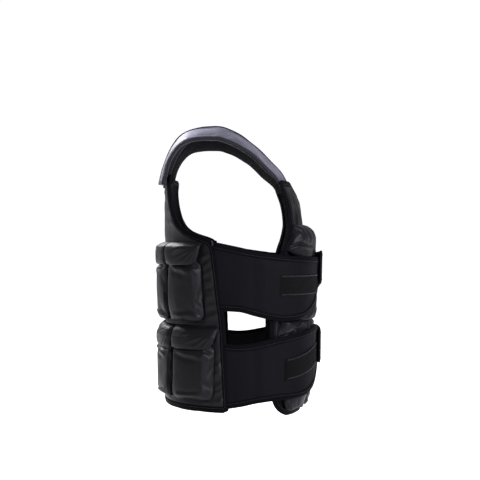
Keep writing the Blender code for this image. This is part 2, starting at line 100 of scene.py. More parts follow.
class PocketRow(namedtuple("PocketRow", "level side seam foot flap_length lead pitch count depth")):
    """A row of pockets, from the seam that their flaps hang from down to their feet."""

    @property
    def half(self):
        """Half a pocket's width."""
        return (self.pitch - POCKET_GROOVE) / 2

    @property
    def tall(self):
        """Half a pocket's height."""
        return (self.seam - self.lead - self.foot) / 2

    @property
    def middle(self):
        """The height of a pocket's middle."""
        return (self.seam - self.lead + self.foot) / 2

    @property
    def flap_end(self):
        """The height of a flap's lower edge."""
        return self.seam - self.flap_length

    @property
    def under_flap(self):
        """How deep a full pocket is below its flap."""
        return self.depth * FLAP_OVER_SHARE + 0.0012

    def centre(self, k):
        """The arc at pocket k's middle."""
        return (k - (self.count - 1) / 2) * self.pitch

    def outward(self, k):
        """1 or -1 for the row's outermost pockets, 0 for the others."""
        return (k == self.count - 1) - (k == 0)


POCKET_ROWS = (
    PocketRow("upper", "back", -0.1830, -0.3155, 0.0370, 0.0065, 0.0745, 5, 0.0148),
    PocketRow("lower", "back", -0.3225, -0.4460, 0.0380, 0.0150, 0.0815, 5, 0.0148),
    PocketRow("upper", "front", -0.1620, -0.3130, 0.0460, 0.0070, 0.0600, 4, 0.0212),
    PocketRow("lower", "front", -0.3160, -0.4530, 0.0420, 0.0040, 0.0735, 4, 0.0212),
)
GUSSET_FROM = {"upper": 0.62, "lower": 0.53}

# Flaps: how far the outermost ones drape sideways, how much higher than its seam a flap starts, the share
# of its length that its top curves over, how closely it hugs the pocket, and its padding
FlapShape = namedtuple("FlapShape", "skirt raised dome hug padding")
FLAP_SHAPES = {
    ("back", "upper"): FlapShape(0.0015, 0.0, 1.0, 0.90, 0.0024),
    ("back", "lower"): FlapShape(0.0030, 0.0, 1.0, 0.84, 0.0024),
    ("front", "upper"): FlapShape(0.0170, 0.009, 0.42, 1.0, 0.0030),
    ("front", "lower"): FlapShape(0.0080, 0.004, 0.24, 1.0, 0.0030),
}
FRONT_FOOT_FULLNESS = 0.66
FRONT_PRESS = np.array(((0.0, 1.0), (0.08, 1.0), (0.11, 0.88), (0.135, 0.62), (0.15, 0.44)))

# Belts: arc from the back centre, top and bottom edge
BELT_START = {"upper": ((0.2200, -0.1830, -0.2960), (0.2445, -0.1920, -0.2980), (0.2600, -0.1955, -0.3020),
                        (0.2820, -0.1990, -0.3080), (0.3000, -0.2015, -0.3125)),
              "lower": ((0.2290, -0.3510, -0.4590), (0.2445, -0.3530, -0.4560), (0.2600, -0.3520, -0.4530),
                        (0.2820, -0.3480, -0.4490), (0.3000, -0.3435, -0.4470), (0.3150, -0.3400, -0.4455))}
BELTS = {
    ("upper", "right"): BELT_START["upper"] + (
        (0.3150, -0.2035, -0.3145), (0.3300, -0.2050, -0.3135), (0.3450, -0.2060, -0.3105),
        (0.3650, -0.2070, -0.3030), (0.3850, -0.2075, -0.2910), (0.4050, -0.2078, -0.2760),
        (0.4250, -0.2080, -0.2640), (0.4640, -0.2090, -0.2600), (0.4760, -0.2130, -0.2560)),
    ("lower", "right"): BELT_START["lower"] + (
        (0.3300, -0.3365, -0.4445), (0.3450, -0.3335, -0.4430), (0.3650, -0.3300, -0.4380),
        (0.3850, -0.3275, -0.4290), (0.4050, -0.3265, -0.4160), (0.4250, -0.3270, -0.4030),
        (0.4640, -0.3290, -0.3940), (0.4760, -0.3330, -0.3900)),
    ("upper", "left"): BELT_START["upper"] + (
        (0.3150, -0.2030, -0.3145), (0.3300, -0.2038, -0.3135), (0.3450, -0.2040, -0.3100),
        (0.3650, -0.2035, -0.3020), (0.3850, -0.2025, -0.2910), (0.4100, -0.2010, -0.2770),
        (0.4300, -0.1995, -0.2670), (0.4450, -0.1985, -0.2610), (0.5060, -0.1965, -0.2540),
        (0.5180, -0.2005, -0.2500)),
    ("lower", "left"): BELT_START["lower"] + (
        (0.3300, -0.3370, -0.4445), (0.3450, -0.3345, -0.4430), (0.3650, -0.3325, -0.4380),
        (0.3850, -0.3315, -0.4290), (0.4100, -0.3315, -0.4140), (0.4300, -0.3320, -0.4045),
        (0.4450, -0.3325, -0.3995), (0.5060, -0.3340, -0.3940), (0.5180, -0.3380, -0.3900)),
}
BELT_RISE = np.array((
    (0.2000, 0.0012), (0.2650, 0.0014), (0.2840, 0.0048), (0.2960, 0.0072), (0.3100, 0.0125),
    (0.3225, 0.0190), (0.3330, 0.0230), (0.3450, 0.0258), (0.3600, 0.0277), (0.3850, 0.0292),
    (0.4100, 0.0296), (0.5200, 0.0296),
))
LAP_RISE = np.array(((0.2, 0.0), (0.408, 0.0), (0.44, 0.0061), (0.52, 0.0061)))

# Loop patches on the right belts: arc, top and bottom
PATCH_HEIGHT = 0.036
PATCHES = {
    "upper": np.array(((0.3070, -0.2365, -0.2720), (0.3450, -0.2365, -0.2720), (0.3850, -0.2365, -0.2715),
                       (0.4020, -0.2365, -0.2680))),
    "lower": np.array(((0.3150, -0.3780, -0.4140), (0.3450, -0.3700, -0.4070), (0.3850, -0.3580, -0.3955),
                       (0.4020, -0.3535, -0.3910))),
}

# Shoulder strap: y and z of its underside from back to front, sideways slope in degrees, thickness
STRAP_OUT = 0.095
STRAP_WIDTH = 0.064
STRAP_THICK = 0.009
STRAP_PATH = np.array((
    (0.0870, -0.0840, 9.0, 0.0090), (0.0833, -0.0650, 8.5, 0.0090), (0.0785, -0.0484, 7.5, 0.0090),
    (0.0661, -0.0239, 11.0, 0.0092), (0.0501, -0.0080, 17.5, 0.0095), (0.0354, -0.0030, 21.0, 0.0095),
    (0.0158, -0.0003, 23.5, 0.0095), (-0.0030, 0.0000, 24.5, 0.0095), (-0.0204, -0.0052, 23.5, 0.0095),
    (-0.0350, -0.0119, 21.5, 0.0095), (-0.0486, -0.0213, 19.0, 0.0095), (-0.0640, -0.0325, 17.0, 0.0095),
    (-0.0882, -0.0568, 16.0, 0.0095), (-0.1015, -0.0700, 17.0, 0.0085), (-0.1102, -0.0815, 18.0, 0.0060),
    (-0.1149, -0.0960, 19.0, 0.0048),
))


# Numbers: easing, noise and the body form

def eased(places, values, at):
    """Values at places along a table, by cubics that never pass the table's own values."""
    order = np.argsort(places)
    places, values = np.asarray(places, float)[order], np.asarray(values, float)[order]
    at = np.clip(at, places[0], places[-1])
    steps = np.diff(places)
    slopes = np.diff(values) / steps
    inner = slopes[:-1] * slopes[1:]
    shared = np.where(inner > 0, 2 * inner / np.where(inner > 0, slopes[:-1] + slopes[1:], 1.0), 0.0)
    ends = np.concatenate([slopes[:1], shared, slopes[-1:]])
    i = np.clip(np.searchsorted(places, at, side="right") - 1, 0, len(steps) - 1)
    t = (at - places[i]) / steps[i]
    return (
        (2 * t**3 - 3 * t**2 + 1) * values[i] + (t**3 - 2 * t**2 + t) * steps[i] * ends[i]
        + (3 * t**2 - 2 * t**3) * values[i + 1] + (t**3 - t**2) * steps[i] * ends[i + 1]
    )


def smoothstep(low, high, x):
    """From 0 at low to 1 at high, level at both. High may be the smaller of the two."""
    t = np.clip((x - low) / (high - low), 0, 1)
    return t * t * (3 - 2 * t)


def bump_at(x, middle, width):
    """A smooth hill of height 1."""
    return np.exp(-((x - middle) / width) ** 2)


def soft_noise(points, size, seed):
    """Smooth noise from -1 to 1 whose features have a size in metres, or three sizes."""
    lattice = np.random.default_rng(seed).uniform(-1, 1, (24, 24, 24))
    p = points / np.asarray(size, float) + seed * 7.31
    cell = np.floor(p).astype(int)
    t = p - cell
    t = t * t * (3 - 2 * t)
    total = 0.0
    for corner in np.ndindex(2, 2, 2):
        weight = np.prod([t[:, k] if c else 1 - t[:, k] for k, c in enumerate(corner)], axis=0)
        x, y, z = ((cell[:, k] + c) % 24 for k, c in enumerate(corner))
        total = total + weight * lattice[x, y, z]
    return total


def creases(points, size, seed):
    """Narrow folds, from 0 between them to 1 on their crests."""
    bent = points + 0.35 * np.asarray(size, float) * np.column_stack(
        [soft_noise(points, np.asarray(size) * 1.7, seed + k) for k in (1, 2, 3)])
    return np.clip(1 - 2.2 * np.abs(soft_noise(bent, size, seed)), 0, 1) ** 1.6


class BodyForm:
    """The body that every sewn piece wraps round, as a table of points by height and share of the girth."""

    LOW, STEP, COLUMNS = -0.500, 0.002, 640

    def __init__(self):
        heights = self.LOW + self.STEP * np.arange(240)
        sizes = [np.interp(heights, FORM[:, 0], FORM[:, k]) for k in range(1, 6)]
        spread = np.exp(-(np.arange(-6, 7) * self.STEP / 0.005) ** 2)
        spread /= spread.sum()
        sizes = [np.convolve(np.pad(s, 6, mode="edge"), spread, mode="valid") for s in sizes]
        self.points, self.outward, self.girths = [], [], []
        for half_width, back, front, back_power, front_power in zip(*sizes):
            turn = np.linspace(0, 1, 260) ** 1.5 * np.pi / 2
            middle, depth = (back + front) / 2, (back - front) / 2
            halves = [
                np.column_stack([
                    half_width * np.sin(turn) ** (2 / power),
                    middle + way * depth * np.abs(np.cos(turn)) ** (2 / power),
                ])
                for power, way in ((back_power, 1), (front_power, -1))
            ]
            line = np.vstack([halves[0], halves[1][-2::-1]])
            arcs = np.concatenate([[0], np.cumsum(np.linalg.norm(np.diff(line, axis=0), axis=1))])
            even = np.linspace(0, arcs[-1], self.COLUMNS)
            line = np.column_stack([np.interp(even, arcs, line[:, k]) for k in (0, 1)])
            along = np.gradient(line, even, axis=0)
            out = np.column_stack([-along[:, 1], along[:, 0]])
            out[0], out[-1] = (0, 1), (0, -1)
            self.points.append(line)
            self.outward.append(out / np.linalg.norm(out, axis=1)[:, None])
            self.girths.append(arcs[-1])
        self.points, self.outward, self.girths = map(np.array, (self.points, self.outward, self.girths))

    def girth(self, height):
        """Half the way round, from the back centre to the front centre."""
        return np.interp(height, self.LOW + self.STEP * np.arange(len(self.girths)), self.girths)

    def wrap(self, side, flat):
        """Points in space for flat (arc, height, rise) ones. Side is back, front, belt_left or belt_right."""
        arc, height, rise = np.asarray(flat, float).T
        if side == "back":
            way, share = np.where(arc < 0, -1, 1), np.abs(arc) / self.girth(height)
        elif side == "front":
            way, share = np.where(arc < 0, -1, 1), 1 - np.abs(arc) / self.girth(height)
        else:
            way, share = np.full(len(arc), 1 if side == "belt_left" else -1), arc / BELT_GIRTH
        way = np.where((share > 1) | (share < 0), -way, way)
        share = np.abs(np.where(share > 1, 2 - share, share))
        row = np.clip((height - self.LOW) / self.STEP, 0, len(self.girths) - 1.001)
        column = np.clip(share * (self.COLUMNS - 1), 0, self.COLUMNS - 1.001)
        i, j = row.astype(int), column.astype(int)
        a, b = (row - i)[:, None], (column - j)[:, None]
        spot, out = (
            (t[i, j] * (1 - b) + t[i, j + 1] * b) * (1 - a)
            + (t[i + 1, j] * (1 - b) + t[i + 1, j + 1] * b) * a
            for t in (self.points, self.outward)
        )
        spot = spot + out * rise[:, None]
        return np.column_stack([way * spot[:, 0], spot[:, 1], height])


FORM_TABLE = BodyForm()


def press(side, arc):
    """How full a pocket or flap stands at an arc, because the belts press the front ones flat."""
    return eased(FRONT_PRESS[:, 0], FRONT_PRESS[:, 1], np.abs(arc)) if side == "front" else np.ones(len(arc))


def rounded(x):
    """A quarter circle's rise from 0 to 1."""
    return np.sqrt(np.clip(1 - (1 - x) ** 2, 0, 1))


def raised(flat, rise):
    """Flat places with a rise added to each."""
    return flat + np.column_stack([np.zeros((len(flat), 2)), np.broadcast_to(rise, len(flat))])


def fold(x, y, start, end, width):
    """A ridge of height 1 along the line between two flat places, fading out at both."""
    (x0, y0), (x1, y1) = start, end
    long = np.hypot(x1 - x0, y1 - y0)
    along = ((x - x0) * (x1 - x0) + (y - y0) * (y1 - y0)) / long**2
    off = ((x - x0) * (y1 - y0) - (y - y0) * (x1 - x0)) / long
    off = off + 0.12 * width * np.sin(along * 9.0)
    return bump_at(off, 0, width) * smoothstep(-0.15, 0.20, along) * smoothstep(1.15, 0.80, along)


def folds_at(x, y, table):
    """The sum of folds from rows of rise, start, end and width."""
    return sum(rise * fold(x, y, start, end, width) for rise, start, end, width in table)


# Meshes

def make_piece(name, points, faces, material, flat=None, seam=None, stands_for=(), lining=None):
    """A smooth mesh object that rides on the vest, with its flat coordinates kept for the weave.
    The faces that lining marks get the lining's finish."""
    mesh = bpy.data.meshes.new(name)
    mesh.from_pydata(np.asarray(points).tolist(), [], [tuple(f) for f in faces])
    mesh.materials.append(material)
    if lining is not None:
        mesh.materials.append(finish("lining_mesh"))
        mesh.polygons.foreach_set("material_index", np.asarray(lining, np.int32))
    mesh.update()
    bm = bmesh.new()
    bm.from_mesh(mesh)
    bmesh.ops.recalc_face_normals(bm, faces=bm.faces[:])
    if bm.calc_volume(signed=True) < 0:
        bmesh.ops.reverse_faces(bm, faces=bm.faces[:])
    bm.to_mesh(mesh)
    bm.free()
    mesh.shade_smooth()
    keep_layer(mesh, "flat", "FLOAT_VECTOR", points if flat is None else flat)
    keep_layer(mesh, "seam", "FLOAT", np.zeros(len(points)) if seam is None else seam)
    made = bpy.data.objects.new(name, mesh)
    bpy.context.scene.collection.objects.link(made)
    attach(made, BODY)
    if stands_for:
        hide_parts(*stands_for)
    return made


def keep_layer(mesh, name, kind, values):
    """Stores values at a mesh's points under a name that materials read."""
    layer = mesh.attributes.new(name, kind, "POINT")
    layer.data.foreach_set("vector" if kind == "FLOAT_VECTOR" else "value",
                           np.asarray(values, np.float32).ravel())


def grid_faces(rows, columns, start=0, around=False):
    """Faces of a grid of points laid out row after row, closed round its columns if asked."""
    i, j = np.meshgrid(np.arange(rows - 1), np.arange(columns if around else columns - 1), indexing="ij")
    k = (j + 1) % columns
    return np.stack([i * columns + j, i * columns + k, (i + 1) * columns + k, (i + 1) * columns + j],
                    axis=-1).reshape(-1, 4) + start


def rim_of(rows, columns):
    """Indices round the edge of a grid, in order."""
    return np.array(
        list(range(columns - 1)) + [i * columns + columns - 1 for i in range(rows - 1)]
        + [(rows - 1) * columns + j for j in range(columns - 1, 0, -1)]
        + [i * columns for i in range(rows - 1, 0, -1)]
    )


def shell_faces(rows, columns):
    """Faces of a closed shell whose inner and outer grids follow each other in the list of points."""
    count = rows * columns
    rim = rim_of(rows, columns)
    ahead = np.roll(rim, -1)
    wall = np.column_stack([rim, ahead, ahead + count, rim + count])
    return np.vstack([grid_faces(rows, columns), grid_faces(rows, columns, count), wall])


def tube_faces(count, columns, closed):
    """Faces of a tube of rings that closes on itself, or else has a cap on both ends."""
    faces = grid_faces(count, columns, around=True).tolist()
    last = (count - 1) * columns
    if closed:
        return faces + [(last + j, last + (j + 1) % columns, (j + 1) % columns, j) for j in range(columns)]
    return faces + [tuple(range(columns)), tuple(last + j for j in range(columns))]


def even_line(points, step, closed=False):
    """The same line with its points a step apart."""
    line = np.vstack([points, points[:1]]) if closed else points
    arcs = np.concatenate([[0], np.cumsum(np.linalg.norm(np.diff(line, axis=0), axis=1))])
    count = max(4, round(arcs[-1] / step))
    at = np.linspace(0, arcs[-1], count + 1)[: count if closed else count + 1]
    return np.column_stack([np.interp(at, arcs, line[:, k]) for k in range(line.shape[1])])


def softened(line, reach, closed):
    """A line of evenly spaced points with its corners rounded."""
    spread = np.exp(-np.linspace(-2, 2, 2 * reach + 1) ** 2)
    spread /= spread.sum()
    if closed:
        padded = np.vstack([line[-reach:], line, line[:reach]])
    else:
        padded = np.vstack([2 * line[0] - line[reach:0:-1], line, 2 * line[-1] - line[-2:-reach - 2:-1]])
    return np.column_stack([np.convolve(padded[:, k], spread, mode="valid") for k in range(line.shape[1])])


def out_of_line(line, closed):
    """The direction out of a flat outline that runs anticlockwise, at each of its points."""
    if closed:
        along = np.roll(line, -1, axis=0) - np.roll(line, 1, axis=0)
    else:
        along = np.gradient(line, axis=0)
    out = np.column_stack([along[:, 1], -along[:, 0]])
    return out / np.linalg.norm(out, axis=1)[:, None]


def make_stitches(name, runs, thread, thickness):
    """One mesh of sewn stitches from arrays of (start, end, out) points, each a slim rounded thread."""
    starts, ends, outs = (np.vstack([run[k] for run in runs]) for k in range(3))
    along = ends - starts
    long = np.linalg.norm(along, axis=1)[:, None]
    along = along / np.maximum(long, 1e-9)
    outs = outs - along * (outs * along).sum(1)[:, None]
    outs /= np.maximum(np.linalg.norm(outs, axis=1)[:, None], 1e-9)
    across = np.cross(along, outs)
    rings = [starts - outs * thickness * 0.35]
    for share in (0.18, 0.82):
        for turn in np.linspace(0, 2 * np.pi, 6, endpoint=False):
            rings.append(starts + along * long * share + across * np.cos(turn) * thickness * 0.5
                         + outs * (np.sin(turn) * 0.36 + 0.18) * thickness)
    rings.append(ends - outs * thickness * 0.35)
    points = np.stack(rings, axis=1).reshape(-1, 3)
    faces = []
    for k in range(6):
        m = (k + 1) % 6
        faces += [(0, 1 + m, 1 + k), (13, 7 + k, 7 + m)]
    quads = [(1 + k, 1 + (k + 1) % 6, 7 + (k + 1) % 6, 7 + k) for k in range(6)]
    base = np.arange(len(starts)) * 14
    everything = [tuple(f) for f in (np.array(faces)[None] + base[:, None, None]).reshape(-1, 3)]
    everything += [tuple(f) for f in (np.array(quads)[None] + base[:, None, None]).reshape(-1, 4)]
    return make_piece(name, points, everything, thread_finish(thread))


def stitch_run(points, outs):
    """Stitches one after another along a line on a surface."""
    props = bpy.context.scene.vest_details
    length, gap = props.stitch_length, props.stitch_gap
    arcs = np.concatenate([[0], np.cumsum(np.linalg.norm(np.diff(points, axis=0), axis=1))])
    count = max(1, int(arcs[-1] / (length + gap)))
    at = (np.arange(count) + 0.15) * arcs[-1] / count

    def spot(table, where):
        return np.column_stack([np.interp(where, arcs, table[:, k]) for k in range(3)])

    return spot(points, at), spot(points, at + length), spot(outs, at)


def wrapped_line(side, flat):
    """A flat line wrapped on to the body form, and the way out at each of its points."""
    points = FORM_TABLE.wrap(side, flat)
    return points, FORM_TABLE.wrap(side, raised(flat, 0.001)) - points


def zigzag_run(side, flat):
    """Stitches from each point of a flat line to the next, wrapped on to the body form."""
    points, outs = wrapped_line(side, flat)
    return points[:-1], points[1:], outs[:-1]


# Cloth simulation of padded pieces

PAD_SPACING = 0.42
CLOTH_FRAMES = 20
MOST_SHRINK = -0.035  # below zero the cloth grows, so that it can swell


def swell(pads, voxel, pinned, cap):
    """Simulates flat pads side by side as inflated cloth, and gives back each one's (points, faces).
    Pads are (points, faces); pinned(points) says which points are sewn down."""
    points, faces, count = [], [], 0
    for k, (pad_points, pad_faces) in enumerate(pads):
        points.append(pad_points + np.array((k * PAD_SPACING, 0, 0)))
        faces += [tuple(np.asarray(f) + count) for f in pad_faces]
        count += len(pad_points)
    mesh = bpy.data.meshes.new("pads")
    mesh.from_pydata(np.vstack(points).tolist(), [], faces)
    pad = bpy.data.objects.new("pads", mesh)
    bpy.context.scene.collection.objects.link(pad)
    remesh = pad.modifiers.new("even cloth", "REMESH")
    remesh.mode = "VOXEL"
    remesh.voxel_size = voxel
    apply_modifiers(pad)
    start = read_points(pad.data)
    home = start - np.column_stack([np.round(start[:, 0] / PAD_SPACING) * PAD_SPACING,
                                    np.zeros((len(start), 2))])
    sewn = pad.vertex_groups.new(name="sewn")
    sewn.add(np.flatnonzero(pinned(home)).tolist(), 1.0, "REPLACE")
    cloth = pad.modifiers.new("cloth", "CLOTH").settings
    cloth.quality = 4
    cloth.mass = 0.25
    cloth.tension_stiffness = cloth.compression_stiffness = 12
    cloth.shear_stiffness = 6
    cloth.bending_stiffness = 0.4
    cloth.use_pressure = True
    cloth.uniform_pressure_force = 4
    cloth.shrink_min = MOST_SHRINK
    cloth.vertex_group_mass = "sewn"
    cloth.effector_weights.gravity = 0
    for step in range(CLOTH_FRAMES):
        bpy.context.scene.frame_set(step + 1)
    apply_modifiers(pad)
    moved = read_points(pad.data) - start
    far = np.linalg.norm(moved, axis=1)[:, None]
    moved *= np.minimum(1, cap / np.maximum(far, 1e-9))
    pad.data.vertices.foreach_set("co", (start + moved).astype(np.float32).ravel())
    bpy.context.scene.frame_set(1)
    finer = pad.modifiers.new("finer", "SUBSURF")
    finer.levels = finer.render_levels = 1
    apply_modifiers(pad)
    points = read_points(pad.data)
    quads = np.array([tuple(p.vertices) for p in pad.data.polygons])
    cell = np.round(points[:, 0] / PAD_SPACING).astype(int)
    done = []
    for k in range(len(pads)):
        mine = np.flatnonzero(cell == k)
        new_index = np.full(len(points), -1)
        new_index[mine] = np.arange(len(mine))
        done.append((points[mine] - np.array((k * PAD_SPACING, 0, 0)),
                     new_index[quads[cell[quads[:, 0]] == k]]))
    old = pad.data
    bpy.data.objects.remove(pad)
    bpy.data.meshes.remove(old)
    return done


def apply_modifiers(made):
    """Leaves an object with its modifiers' result as its mesh."""
    shape = bpy.data.meshes.new_from_object(made.evaluated_get(bpy.context.evaluated_depsgraph_get()))
    old, made.data = made.data, shape
    made.modifiers.clear()
    bpy.data.meshes.remove(old)


def read_points(mesh):
    """A mesh's points as an array."""
    points = np.zeros(len(mesh.vertices) * 3, np.float32)
    mesh.vertices.foreach_get("co", points)
    return points.reshape(-1, 3).astype(float)


# Finishes

class Tree:
    """Short calls for building a node tree."""

    def __init__(self, tree):
        self.tree = tree

    def add(self, kind, values=None, **settings):
        """A new node with its inputs' values and its own settings."""
        node = self.tree.nodes.new(kind)
        for key, value in settings.items():
            setattr(node, key, value)
        for key, value in (values or {}).items():
            self.put(node.inputs[key], value)
        return node

    def put(self, socket, value):
        """Links a socket or sets a plain value on an input."""
        if isinstance(value, bpy.types.NodeSocket):
            self.tree.links.new(value, socket)
        else:
            socket.default_value = value

    def math(self, operation, *values):
        """The output of a math node."""
        node = self.add("ShaderNodeMath", operation=operation)
        for socket, value in zip(node.inputs, values):
            self.put(socket, value)
        return node.outputs[0]

    def between(self, mask, low, high):
        """A number from low, where the mask is 0, to high, where it is 1."""
        return self.add("ShaderNodeMapRange", {"Value": mask, "To Min": low, "To Max": high}).outputs[0]

    def blend(self, mask, first, second):
        """A colour between two, by a mask."""
        node = self.add("ShaderNodeMix", data_type="RGBA")
        for key, value in (("Factor_Float", mask), ("A_Color", first), ("B_Color", second)):
            self.put(next(s for s in node.inputs if s.identifier == key), value)
        return next(s for s in node.outputs if s.identifier == "Result_Color")


def new_group(name, inputs, outputs):
    """A shader node group with named sockets, and its tree."""
    group = bpy.data.node_groups.new(name, "ShaderNodeTree")
    for label, kind, default in inputs:
        socket = group.interface.new_socket(label, in_out="INPUT", socket_type=kind)
        if default is not None:
            socket.default_value = default
    for label in outputs:
        group.interface.new_socket(label, in_out="OUTPUT", socket_type="NodeSocketFloat")
    tree = Tree(group)
    return group, tree, tree.add("NodeGroupInput").outputs, tree.add("NodeGroupOutput").inputs


def weave_group():
    """Over-and-under threads: their height, and a mask of each thread's own shade."""
    group, t, given, out = new_group(
        "Woven threads",
        (("Flat", "NodeSocketVector", None), ("Pitch", "NodeSocketFloat", 0.0009)),
        ("Height", "Thread shade"),
    )
    place = t.add("ShaderNodeVectorMath", {0: given["Flat"], 1: given["Pitch"]},
                  operation="DIVIDE").outputs[0]
    axes = t.add("ShaderNodeSeparateXYZ", {0: place}).outputs
    waves = [t.math("SINE", t.math("MULTIPLY", axes[k], np.pi)) for k in (0, 1)]
    over = t.math("GREATER_THAN", t.math("MULTIPLY", *waves), 0.0)
    bumps = [t.math("ABSOLUTE", wave) for wave in waves]
    chosen = t.math("ADD", t.math("MULTIPLY", bumps[0], over),
                    t.math("MULTIPLY", bumps[1], t.math("SUBTRACT", 1.0, over)))
    t.put(out["Height"], chosen)
    shade = t.add("ShaderNodeTexNoise", {"Vector": place, "Scale": 0.35, "Detail": 2.0})
    t.put(out["Thread shade"], shade.outputs[0])
    return group


def mottle_group():
    """Slow changes of shade over a cloth, small flecks, and wear along its seams."""
    group, t, given, out = new_group(
        "Cloth mottle",
        (("Flat", "NodeSocketVector", None), ("Patch size", "NodeSocketFloat", 0.06),
         ("Seam", "NodeSocketFloat", 0.0)),
        ("Mottle", "Fleck", "Wear"),
    )
    scale = t.math("DIVIDE", 1.0, given["Patch size"])
    broad = t.add("ShaderNodeTexNoise", {"Vector": given["Flat"], "Scale": scale, "Detail": 4.0,
                                         "Roughness": 0.6})
    t.put(out["Mottle"], t.between(broad.outputs[0], -0.4, 1.4))
    fine = t.add("ShaderNodeTexNoise", {"Vector": given["Flat"], "Scale": 900.0, "Detail": 1.0})
    t.put(out["Fleck"], t.math("POWER", fine.outputs[0], 3.0))
    rub = t.add("ShaderNodeTexNoise", {"Vector": given["Flat"], "Scale": 140.0, "Detail": 5.0,
                                       "Roughness": 0.7})
    worn = t.math("MULTIPLY", given["Seam"], t.between(rub.outputs[0], -0.6, 1.6))
    t.put(out["Wear"], t.math("MINIMUM", t.math("MAXIMUM", worn, 0.0), 1.0))
    return group


def crinkle_group():
    """Small creases pressed into thin cloth, as a height."""
    group, t, given, out = new_group(
        "Pressed creases",
        (("Flat", "NodeSocketVector", None), ("Size", "NodeSocketFloat", 0.012),
         ("Sharpness", "NodeSocketFloat", 0.5)),
        ("Height",),
    )
    scale = t.math("DIVIDE", 1.0, given["Size"])
    drawn = t.add("ShaderNodeVectorMath", {0: given["Flat"], 1: (1.0, 0.45, 0.6)},
                  operation="MULTIPLY").outputs[0]
    noise = t.add("ShaderNodeTexNoise", {"Vector": drawn, "Scale": scale, "Detail": 2.0, "Roughness": 0.45})
    fine = t.add("ShaderNodeTexNoise", {"Vector": given["Flat"], "Scale": t.math("MULTIPLY", scale, 4.0),
                                        "Detail": 0.0})
    small = t.math("MULTIPLY", t.math("MULTIPLY", fine.outputs[0], 0.5), given["Sharpness"])
    t.put(out["Height"], t.math("ADD", t.math("MULTIPLY", noise.outputs[0], 2.0), small))
    return group


EFFECTS = {}


def use_effect(tree, name, **values):
    """Places one of the shared effects in a material."""
    makers = {"weave": weave_group, "mottle": mottle_group, "crinkle": crinkle_group}
    if name not in EFFECTS:
        EFFECTS[name] = makers[name]()
    node = tree.add("ShaderNodeGroup", node_tree=EFFECTS[name])
    for key, value in values.items():
        tree.put(node.inputs[key.replace("_", " ")], value)
    return node.outputs


Finish = namedtuple("Finish", "dark light worn rough_low rough_high pitch weave_depth crease_size "
                              "crease_depth crease_sharpness sheen sheen_tint specular")


def cloth_finish(name, look):
    """A woven cloth: two shades mottled together, wear at its seams, and a bump of threads over creases."""
    material = bpy.data.materials.new(name)
    material.use_nodes = True
    shader = material.node_tree.nodes["Principled BSDF"]
    t = Tree(material.node_tree)
    flat = t.add("ShaderNodeAttribute", attribute_name="flat").outputs["Vector"]
    seam = t.add("ShaderNodeAttribute", attribute_name="seam").outputs["Fac"]
    weave = use_effect(t, "weave", Flat=flat, Pitch=look.pitch)
    mottle = use_effect(t, "mottle", Flat=flat, Seam=seam)
    crease = use_effect(t, "crinkle", Flat=flat, Size=look.crease_size, Sharpness=look.crease_sharpness)
    shade = t.math("ADD", t.math("MULTIPLY", mottle["Mottle"], 0.6),
                   t.math("MULTIPLY", weave["Thread shade"], 0.4))
    colour = t.blend(shade, (*look.dark, 1), (*look.light, 1))
    colour = t.blend(mottle["Wear"], colour, (*look.worn, 1))
    t.put(shader.inputs["Base Color"], colour)
    t.put(shader.inputs["Roughness"], t.between(t.math("ADD", mottle["Mottle"], mottle["Fleck"]),
                                                look.rough_low, look.rough_high))
    folds = t.add("ShaderNodeBump", {"Height": crease["Height"], "Distance": look.crease_depth,
                                     "Strength": 1.0})
    threads = t.add("ShaderNodeBump", {"Height": weave["Height"], "Distance": look.weave_depth,
                                       "Strength": 0.7, "Normal": folds.outputs[0]})
    t.put(shader.inputs["Normal"], threads.outputs[0])
    shader.inputs["Sheen Weight"].default_value = look.sheen
    shader.inputs["Sheen Roughness"].default_value = 0.45
    shader.inputs["Sheen Tint"].default_value = (*look.sheen_tint, 1)
    shader.inputs["Specular IOR Level"].default_value = look.specular
    return material


